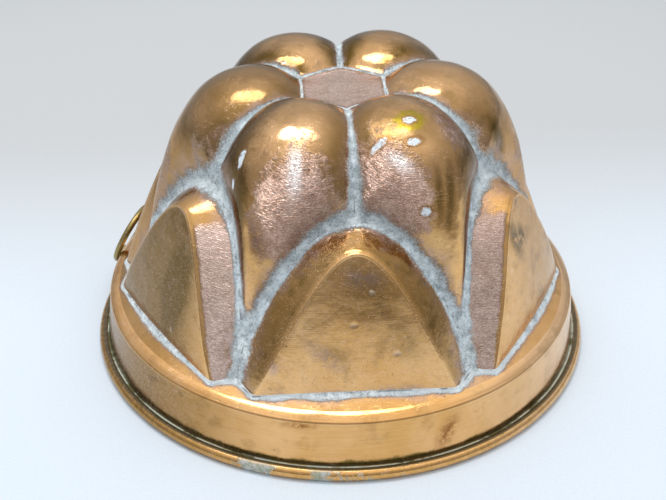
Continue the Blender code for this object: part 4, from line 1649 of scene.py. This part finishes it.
class CrownCopper(Finish):
    """Polished copper under an olive film, with residue in its creases and scoured patches, and with painted
    shade, highlights and glints.
    """

    def __init__(self, effects: Effects) -> None:
        """Finds what lies where, then wires the colour, the roughness and the relief.

        Args:
            effects: The shared effects.
        """
        super().__init__("crown_copper", effects)
        self.tints = CrownColours()
        self.broad, self.fine, self.blotch = self.read(effects.mottle)
        self.level, self.scrub, self.spark, self.groove = self.read(effects.brushing)
        (self.lines,) = self.read(effects.hairlines)
        self.panel, self.side, self.centre = map(self.mark, (Mark.PANEL_FACE, Mark.PANEL_SIDE, Mark.CENTRE))
        self.flank, self.edge = self.mark(Mark.FLANK), self.mark(Mark.EDGE_AWAY)
        self.height = self.axis(self.place, "Z")
        self.front, self.foreground = self.towards(-90.0), self.towards(-90.0, 0.42, 0.60)
        self.left, self.right = self.towards(-168.0, 0.72, 0.93), self.towards(0.0, 0.72, 0.93)
        self.worn = self.noise(self.place, 190.0, 5.0, 0.75)
        self.on_foot = self.height.ease(31.0 * MM, 28.0 * MM)
        self.chalk, self.tone, self.halo, self.grime = self.residue()
        self.scoured_side, self.scoured = self.scouring()
        self.dull = self.spots(*DULL_FILMS)
        # Pale bluish-white spots that are not metal, speckled at their borders.
        crust = self.fine.ease(0.36, 0.50, 0.45, 1.0)
        self.pale_spotted = self.spots(*PALE_SPOTS, part=SpotPart.CORE) * crust
        self.give(
            Base_Color=self.colour(),
            Roughness=self.roughness(),
            Metallic=1.0 - most(self.chalk, self.grime, self.pale_spotted * 0.9),
            Normal=self.normal(),
        )

    def residue(self) -> list[Signal]:
        """Where polish residue lies in the creases: wide beside the front, narrow high up and at the foot.

        Returns:
            The pale residue, its tone, the brown halo round it and the dark grime in it.
        """
        beside = self.towards(-150.0, 0.86, 0.97) + self.towards(-30.0, 0.86, 0.97)
        beside *= self.height.ease(74.0 * MM, 88.0 * MM, 0.0, 0.6) * self.height.ease(118.0 * MM, 106.0 * MM)
        past_front = 1.0 - self.towards(-82.0, 0.80, 0.90)
        width = self.mark(Mark.CREASE_WIDTH) * (1.0 + beside)
        width *= self.height.ease(111.0 * MM, 118.0 * MM, 1.0, 0.6)
        width *= 1.0 - self.on_foot * past_front * 0.42
        spread = 2.7 - most(self.side, self.on_foot) - self.on_foot * 0.35
        away, along = self.mark(Mark.CREASE_AWAY), self.mark(Mark.CREASE_ALONG)
        chalk, tone, halo, grime = self.effect(self.effects.deposit, self.place, away, along, width, spread)
        return [chalk, tone, halo * self.worn.ease(0.35, 0.6, 0.15, 0.8), grime]

    def scouring(self) -> tuple[Signal, Signal]:
        """Where the copper is rubbed back to its pink, scratched metal.

        Returns:
            The scoured sides of the panels beside the front, and all that is scoured.
        """
        sides = self.side * self.foreground * (1.0 - self.front)
        sides *= self.height.ease(85.0 * MM, 78.0 * MM) * self.edge.ease(0.5, 2.0)
        marked = most(self.mark(Mark.SCOURED), self.centre * 0.95, sides)
        return sides, (self.worn * 1.7 + marked).ease(1.05, 1.75)

    def film(self) -> Signal:
        """How thick the olive film is, with painted shade on the left side and a painted reflection that
        leaves the front panel lighter low down.
        """
        film = (self.broad * 0.25 + self.flank).ease(0.30, 0.78) * self.flank.ease(0.02, 0.1)
        film *= (1.0 - self.front * 0.6) * (1.0 - most(self.left, self.right) * 0.7)
        # Painted shade: the left side is darkened, its panel most.
        film += self.left * (self.panel * 0.48 + 0.36)
        film += self.side * self.front * 0.52
        film += self.panel * self.right * 0.32
        # Painted reflection: on the front panel the film thickens upwards, so it is lighter low down.
        film += self.panel * self.front * self.height.ease(34.0 * MM, 72.0 * MM, 0.03, 0.18)
        film += self.blotch * (0.24 - self.left * 0.14)
        film += self.spots(*OLIVE_CLOUDS) * self.worn.ease(0.30, 0.60, 0.4, 1.0) * 0.52
        stain = self.spots(*DARK_STAINS) * self.noise(self.place, 150.0, 4.0, 0.65).ease(0.30, 0.48)
        return (most(film, self.dull * 0.55) + stain * 0.9).up_to(0.97)

    def scoured_colour(self) -> Signal:
        """The pink of the scoured metal, with its bright scratches and painted light: painted glints, a
        painted sheen on the scoured panel sides and a painted highlight that fades low on the lobes.
        """
        # Painted light on the scoured panel sides, more of it towards -X.
        painted_side_light = self.towards(180.0, 0.3, 0.6) * 0.18 + 0.26
        bright = self.spark * 0.35 + self.scrub.ease(0.50, 0.72, 0.0, 0.3)
        bright += self.scoured_side * painted_side_light + self.centre * 0.4
        # Painted highlight: the sheen weakens low on the lobes, away from the lamp.
        bright *= most(self.side, self.height.ease(78.0 * MM, 100.0 * MM, 0.3, 1.0))
        tone = self.mix(self.worn.ease(0.36, 0.62), self.tints.scour_deep, self.tints.scour_pale)
        return self.mix(bright, tone, self.tints.scour_spark)

    def colour(self) -> Signal:
        """The colour, from the bare copper up."""
        tints, worn, scrub, panel = self.tints, self.worn, self.scrub, self.panel
        (pits,) = self.read(self.effects.pits)
        upper = self.mix(self.broad, tints.upper_bright, tints.upper_deep)
        # Painted shade: the lobes' flanks on the front half are darkened, least at the very front.
        flank_painted_shade = (worn * 0.4 + self.flank).ease(0.36, 0.62) * self.foreground * (0.60 - self.front * 0.48)
        polished = self.layers(
            self.mix(self.broad, COPPER.bright, COPPER.deep),
            (self.height.ease(90.0 * MM, 110.0 * MM), upper),
            (self.film(), COPPER.tarnish),
            (flank_painted_shade, tints.flank_shade_colour),
            (self.halo, COPPER_HALO),
            (self.scoured * (1.0 - self.scoured) * 2.2, tints.scour_border),
            (self.scoured * 0.92, self.scoured_colour()),
            # Painted highlight in the scoured patches, broken by the scratches.
            (self.spots(*PAINTED_GLEAMS) * scrub.ease(0.42, 0.62, 0.4, 1.0) * 0.9, tints.painted_gleam),
            # Brown smear, partly painted shade.
            (self.spots(BROWN_SMEAR_AND_SHADE) * worn.ease(0.30, 0.55) * 0.85, tints.brown),
            (self.spots(*MAUVE_SMEARS) * worn.ease(0.30, 0.65) * 0.7, tints.mauve),
        )
        brushed = self.mix(self.level.ease(0.40, 0.60) * panel * 0.09, polished, COPPER_HALO, "MULTIPLY")
        return self.layers(
            brushed,
            (scrub.ease(0.54, 0.74) * panel * 0.25, COPPER.scoured),
            (self.lines * 0.35, COPPER.scoured),
            (self.spots(*PALE_SPOTS, part=SpotPart.RIM), tints.spot_rim),
            (self.spots(OLIVE_RING, part=SpotPart.RIM) * 0.9, tints.olive_ring),
            (pits * 0.8, GRIME),
            # Rubbed wear and a painted highlight line along the panels' sharp edges.
            (self.edge.ease(0.55, 0.15) * worn.ease(0.35, 0.55) * 0.25, tints.rubbed_and_highlit_edge),
            # Painted glints: pale flecks in the dents.
            (self.spots(*DINGS, part=SpotPart.CORE) * 0.2, tints.ding),
            (self.chalk, self.mix(self.on_foot * 1.1 + self.tone, tints.chalk_deep, tints.chalk_pale)),
            (self.pale_spotted, tints.pale_spot_white),
            (self.grime * 0.75, GRIME),
        )

    def roughness(self) -> Signal:
        """The roughness: least where the copper is polished, most in the residue."""
        rough = self.fine.ease(0.3, 0.7, COPPER.smooth - 0.05, COPPER.smooth + 0.05)
        rough += self.scoured * 0.085 + self.halo * 0.18 + self.dull * 0.16
        return rough + most(self.panel, self.left) * 0.06 + self.chalk * 0.5

    def normal(self) -> Signal:
        """The relief: scratches, grooves, hammering, knocks, the panels' sharp edges and the residue."""
        brushed = self.level * (self.panel * 0.7 + 0.05)
        deep = self.scoured * most(self.side, self.height.ease(76.0 * MM, 100.0 * MM, 0.35, 1.0))
        deep *= 1.0 - self.centre * 0.85 - self.side * 0.68
        return self.relief(
            (self.scrub * self.scoured + brushed + self.lines, 0.04 * MM, 0.7),
            (self.groove * deep, 0.7 * MM, 0.8),
            (self.noise(self.place, 85.0, 3.0), 1.1 * MM, 0.30),
            (1.0 - self.spots(*DINGS), 0.4 * MM, 0.3),
            (self.edge.ease(1.1, 0.1), 0.35 * MM, 0.35),
            (self.chalk * self.tone, 0.8 * MM, 0.7),
        )


class SkirtCopper(Finish):
    """The collar's copper, brushed round, olive above the bead, with painted shade on the left and painted
    light on the right.
    """

    bead_colour: Colour = (0.60, 0.33, 0.08)
    bead_film: Colour = (0.13, 0.12, 0.03)
    # Painted light: the pale copper laid on the right side.
    right_painted_light: Colour = (0.92, 0.68, 0.46)
    stain_colour: Colour = (0.34, 0.14, 0.04)

    def __init__(self, effects: Effects, ledge: Skirt) -> None:
        """Finds what lies where, then wires the colour, the roughness and the relief.

        Args:
            effects: The shared effects.
            ledge: The collar's sizes.
        """
        super().__init__("skirt_copper", effects)
        place, height = self.place, self.axis(self.place, "Z")
        broad, fine, blotch = self.read(effects.mottle)
        level, scrub, _, _ = self.read(effects.brushing)
        (lines,), (pits,) = self.read(effects.hairlines), self.read(effects.pits)
        left, right = self.towards(-170.0, 0.45, 0.95), self.towards(-10.0, 0.5, 0.95)
        groove = ledge.roll_height + ledge.roll_outer
        on_band = height.ease(26.0 * MM, 23.0 * MM)
        on_bead = height.ease(groove + 0.1 * MM, groove - 0.5 * MM)
        border = height + self.noise(place, 60.0, 5.0, 0.7) * (9.0 * MM)
        above_bead = border.ease(12.6 * MM, 10.6 * MM) * height.ease(groove - 0.3 * MM, groove)
        # Painted shade: the band is darkened on the left; the blotches and the olive strip above the bead are
        # tarnish.
        dull = (left * on_band * 0.76 + blotch * 0.2 + above_bead * 0.9).up_to(0.95)
        patchy = self.noise(place, 80.0, 5.0, 0.75) + self.towards(-99.0, 0.93, 0.99) * 0.14
        chalk = patchy.ease(0.60, 0.70) * on_bead * 0.85
        from_groove = abs(height - (groove + 0.25 * MM))
        grime = from_groove.ease(0.6 * MM, 0.1 * MM) * fine.ease(0.35, 0.50, 0.5, 1.0)
        polished = self.layers(
            self.mix(broad, COPPER.bright, COPPER.deep),
            # Painted light on the right side.
            (right * 0.45, self.right_painted_light),
            (dull, COPPER.tarnish),
            (above_bead * 0.5, self.bead_film),
        )
        brushed = self.mix(level.ease(0.38, 0.62) * 0.15, polished, COPPER_HALO, "MULTIPLY")
        colour = self.layers(
            brushed,
            (lines * 0.35, COPPER.scoured),
            (self.spots(*DARK_STAINS) * fine.ease(0.32, 0.56), self.stain_colour),
            (scrub.ease(0.53, 0.74) * left * 0.35, COPPER.scoured),
            (on_bead * fine.ease(0.45, 0.6, 0.15, 0.6), self.bead_colour),
            (pits * 0.8, GRIME),
            (chalk, self.mix(fine.ease(0.40, 0.60), VERDIGRIS, CHALK)),
            (grime * 0.8, GRIME),
        )
        rough = fine.ease(0.3, 0.7, COPPER.smooth, COPPER.smooth + 0.08) + dull * 0.10 + chalk * 0.5
        normal = self.relief(
            (level * (on_band * 0.6 + 0.1) + lines, 0.03 * MM, 0.55),
            (self.noise(place, 60.0, 2.0), 0.6 * MM, 0.2),
            (chalk * fine, 0.4 * MM, 0.5),
        )
        self.give(Base_Color=colour, Roughness=rough, Metallic=1.0 - most(chalk, grime), Normal=normal)


class TinLining(Finish):
    """The dull tin inside, rubbed through to the copper in places."""

    bright: Colour = (0.50, 0.49, 0.46)
    deep: Colour = (0.36, 0.35, 0.33)
    scratch: Colour = (0.68, 0.66, 0.62)

    def __init__(self, effects: Effects) -> None:
        """Wires the material."""
        super().__init__("tin_lining", effects)
        broad, fine, blotch = self.read(effects.mottle)
        (lines,), (pits,) = self.read(effects.hairlines), self.read(effects.pits)
        colour = self.layers(
            self.mix(broad, self.bright, self.deep),
            (blotch * fine.ease(0.4, 0.6) * 0.55, COPPER_HALO),
            (lines * 0.4, self.scratch),
            (pits * 0.7, GRIME),
        )
        normal = self.relief((lines, 0.03 * MM, 0.4), (self.noise(self.place, 130.0, 3.0), 0.4 * MM, 0.2))
        self.give(Base_Color=colour, Roughness=fine.ease(0.3, 0.7, 0.34, 0.52), Metallic=1.0, Normal=normal)


class WornBrass(Finish):
    """Brass with brown tarnish, bright where it rubs."""

    def __init__(self, effects: Effects, name: str, tarnished: float) -> None:
        """Wires the material.

        Args:
            effects: The shared effects.
            name: The material's name.
            tarnished: How brown it is, from 0 to 1.
        """
        super().__init__(name, effects)
        broad, fine, blotch = self.read(effects.mottle, 3.0)
        (lines,), (pits,) = self.read(effects.hairlines, 1.6), self.read(effects.pits, 3.0)
        colour = self.layers(
            self.mix(broad, BRASS.bright, BRASS.deep),
            (blotch * 0.4 + tarnished, BRASS.tarnish),
            (lines * 0.5, BRASS.scoured),
            (pits * 0.8, GRIME),
        )
        rough = fine.ease(0.3, 0.7, BRASS.smooth, BRASS.smooth + 0.21)
        normal = self.relief((lines, 0.03 * MM, 0.5), (fine, 0.1 * MM, 0.25))
        self.give(Base_Color=colour, Roughness=rough, Metallic=1.0, Normal=normal)


class OldIron(Finish):
    """Dark iron, rusted in patches."""

    bright: Colour = (0.22, 0.20, 0.19)
    deep: Colour = (0.13, 0.12, 0.11)
    rust: Colour = (0.25, 0.10, 0.04)
    scratch: Colour = (0.42, 0.40, 0.38)

    def __init__(self, effects: Effects) -> None:
        """Wires the material."""
        super().__init__("old_iron", effects)
        broad, fine, blotch = self.read(effects.mottle, 2.0)
        (lines,) = self.read(effects.hairlines)
        rusty = blotch * 0.8
        colour = self.layers(
            self.mix(broad, self.bright, self.deep), (rusty, self.rust), (lines * 0.4, self.scratch)
        )
        rough = rusty * 0.3 + fine.ease(0.3, 0.7, 0.45, 0.62)
        normal = self.relief((fine, 0.2 * MM, 0.5))
        self.give(Base_Color=colour, Roughness=rough, Metallic=1.0 - rusty, Normal=normal)


class GreenResidue(Finish):
    """Green-white residue with dark, oily gaps in it."""

    green: Colour = (0.34, 0.42, 0.30)
    white: Colour = (0.86, 0.90, 0.80)
    oily: Colour = (0.13, 0.13, 0.05)

    def __init__(self, effects: Effects) -> None:
        """Wires the material."""
        super().__init__("green_residue", effects)
        _, fine, _ = self.read(effects.mottle)
        (pits,) = self.read(effects.pits, 3.0)
        gap = self.noise(self.place, 45.0, 5.0, 0.7).ease(0.49, 0.58)
        colour = self.layers(self.mix(fine, self.green, self.white), (gap, self.oily), (pits * 0.9, GRIME))
        rough, normal = gap.ease(0.0, 1.0, 0.85, 0.45), self.relief((fine, 0.5 * MM, 0.6))
        self.give(Base_Color=colour, Roughness=rough, Metallic=0.0, Normal=normal)


class PaleCloth(Finish):
    """The plain pale floor, with a painted pool of light: whiter and bluer near the mould, greyer behind and
    darker far off.
    """

    near: Colour = (0.78, 0.87, 0.96)
    behind: Colour = (0.60, 0.62, 0.63)
    far: Colour = (0.36, 0.37, 0.38)
    thread: Colour = (0.3, 0.3, 0.32)

    def __init__(self, effects: Effects) -> None:
        """Wires the material."""
        super().__init__("pale_cloth", effects)
        weave = self.noise(self.scaled(self.place, (900.0, 900.0, 900.0)), 1.0, 2.0)
        colour = self.layers(
            # Painted pool of light: pale blue-white near the mould, grey behind, dark far off.
            self.mix(self.axis(self.place, "Y").ease(-0.02, 0.20), self.near, self.behind),
            (self.number("LENGTH", self.place).ease(0.32, 1.1), self.far),
            (weave.ease(0.3, 0.7, 0.0, 0.06), self.thread),
        )
        normal = self.relief((weave, 0.3 * MM, 0.2))
        self.give(Base_Color=colour, Roughness=0.95, Specular_IOR_Level=0.1, Normal=normal)


@dataclass
class Studio:
    """The floor, the light and the camera of the photograph."""

    floor_radius: float = 5.0
    camera_azimuth: float = math.radians(-3.5)
    camera_elevation: float = math.radians(33.262)
    camera_roll: float = math.radians(-0.095)
    camera_distance: float = 0.5581
    aim_right: float = -3.3 * MM
    aim_up: float = 30.5 * MM
    lens: float = 64.86
    sky_strength: float = 1.0
    lamp_place: Triple = (-0.13, 0.13, 1.35)
    lamp_width: float = 0.98
    lamp_depth: float = 0.48
    lamp_power: float = 6.2

    def build(self, cloth: bpy.types.Material) -> None:
        """Sets everything up.

        Args:
            cloth: The floor's material.
        """
        self.add_floor(cloth)
        self.add_sky()
        self.add_lamp()
        self.add_camera()
        bpy.context.scene.view_settings.view_transform = "Standard"

    def add_floor(self, cloth: bpy.types.Material) -> None:
        """A wide round floor."""
        work = Workpiece()
        bmesh.ops.create_circle(work.bm, cap_ends=True, segments=96, radius=self.floor_radius)
        work.finish("floor", [cloth])

    def add_sky(self) -> None:
        """A soft room all round: brighter overhead, to the right and behind, darker in front and left."""
        world = bpy.data.worlds.new("soft_room")
        bpy.context.scene.world = world
        world.use_nodes = True
        wiring = Wiring(world.node_tree)
        way = wiring.signal("ShaderNodeTexCoord", output="Generated")
        rise, back = wiring.axis(way, "Z"), wiring.axis(way, "Y").ease(-0.8, 0.8)
        colour = wiring.layers(
            wiring.mix(back, (0.31, 0.32, 0.33), (0.40, 0.41, 0.42)),
            (rise.ease(0.02, 0.55), wiring.mix(back, (0.50, 0.51, 0.53), (0.68, 0.69, 0.71))),
            (rise.ease(0.55, 0.92), (1.12, 1.13, 1.15)),
        )
        wiring.node("ShaderNodeOutputWorld", wiring.signal("ShaderNodeBackground", colour, self.sky_strength))

    def add_lamp(self) -> None:
        """A wide soft lamp overhead, aimed at the mould."""
        lamp = bpy.data.lights.new("ceiling_lamp", "AREA")
        lamp.shape = "ELLIPSE"
        lamp.size, lamp.size_y = self.lamp_width, self.lamp_depth
        lamp.energy = self.lamp_power
        back = Vector(self.lamp_place).normalized()
        across = (Vector((1.0, 0.0, 0.0)) - back * back.x).normalized()
        holder = bpy.data.objects.new("ceiling_lamp", lamp)
        holder.location = self.lamp_place
        holder.rotation_euler = Matrix((across, back.cross(across), back)).transposed().to_euler()
        bpy.context.scene.collection.objects.link(holder)

    def add_camera(self) -> None:
        """The camera at the photograph's place."""
        azimuth, elevation = self.camera_azimuth, self.camera_elevation
        back = Vector((
            math.sin(azimuth) * math.cos(elevation),
            -math.cos(azimuth) * math.cos(elevation),
            math.sin(elevation),
        ))
        right = Vector((math.cos(azimuth), math.sin(azimuth), 0.0))
        up = back.cross(right)
        camera = bpy.data.cameras.new("camera")
        camera.lens = self.lens
        holder = bpy.data.objects.new("camera", camera)
        turn = Matrix((right, up, back)).transposed().to_4x4() @ Matrix.Rotation(self.camera_roll, 4, "Z")
        holder.matrix_world = (
            Matrix.Translation(back * self.camera_distance + right * self.aim_right + up * self.aim_up) @ turn
        )
        bpy.context.scene.collection.objects.link(holder)
        bpy.context.scene.camera = holder


def main() -> None:
    """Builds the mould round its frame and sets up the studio."""
    logging.basicConfig(level=logging.INFO, format="%(message)s")
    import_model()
    effects = Effects()
    tin = TinLining(effects).material
    copper = CrownCopper(effects).material
    ledge = Skirt(dents=(Dent(math.radians(-98.1), 24.6 * MM, 2.6 * MM, 0.5 * MM),))
    crown = Crown(scoured=SCOURED)
    mount = RingMount(ledge)
    brass = WornBrass(effects, "strap_brass", tarnished=0.35).material
    ring_brass = WornBrass(effects, "ring_brass", tarnished=0.62).material
    pieces = [
        crown.build(copper, tin),
        ledge.build(SkirtCopper(effects, ledge).material, tin),
        FootBraze(crown).build(copper),
        BeadDeposit(ledge).build(GreenResidue(effects).material),
        RimWire(ledge).build(OldIron(effects).material),
        *mount.build(brass),
        HangingRing(mount).build(ring_brass),
    ]
    for piece in pieces:
        LOG.info("built %s: %d faces", piece.name, len(piece.data.polygons))
    Studio().build(PaleCloth(effects).material)


if __name__ == "__main__":
    main()
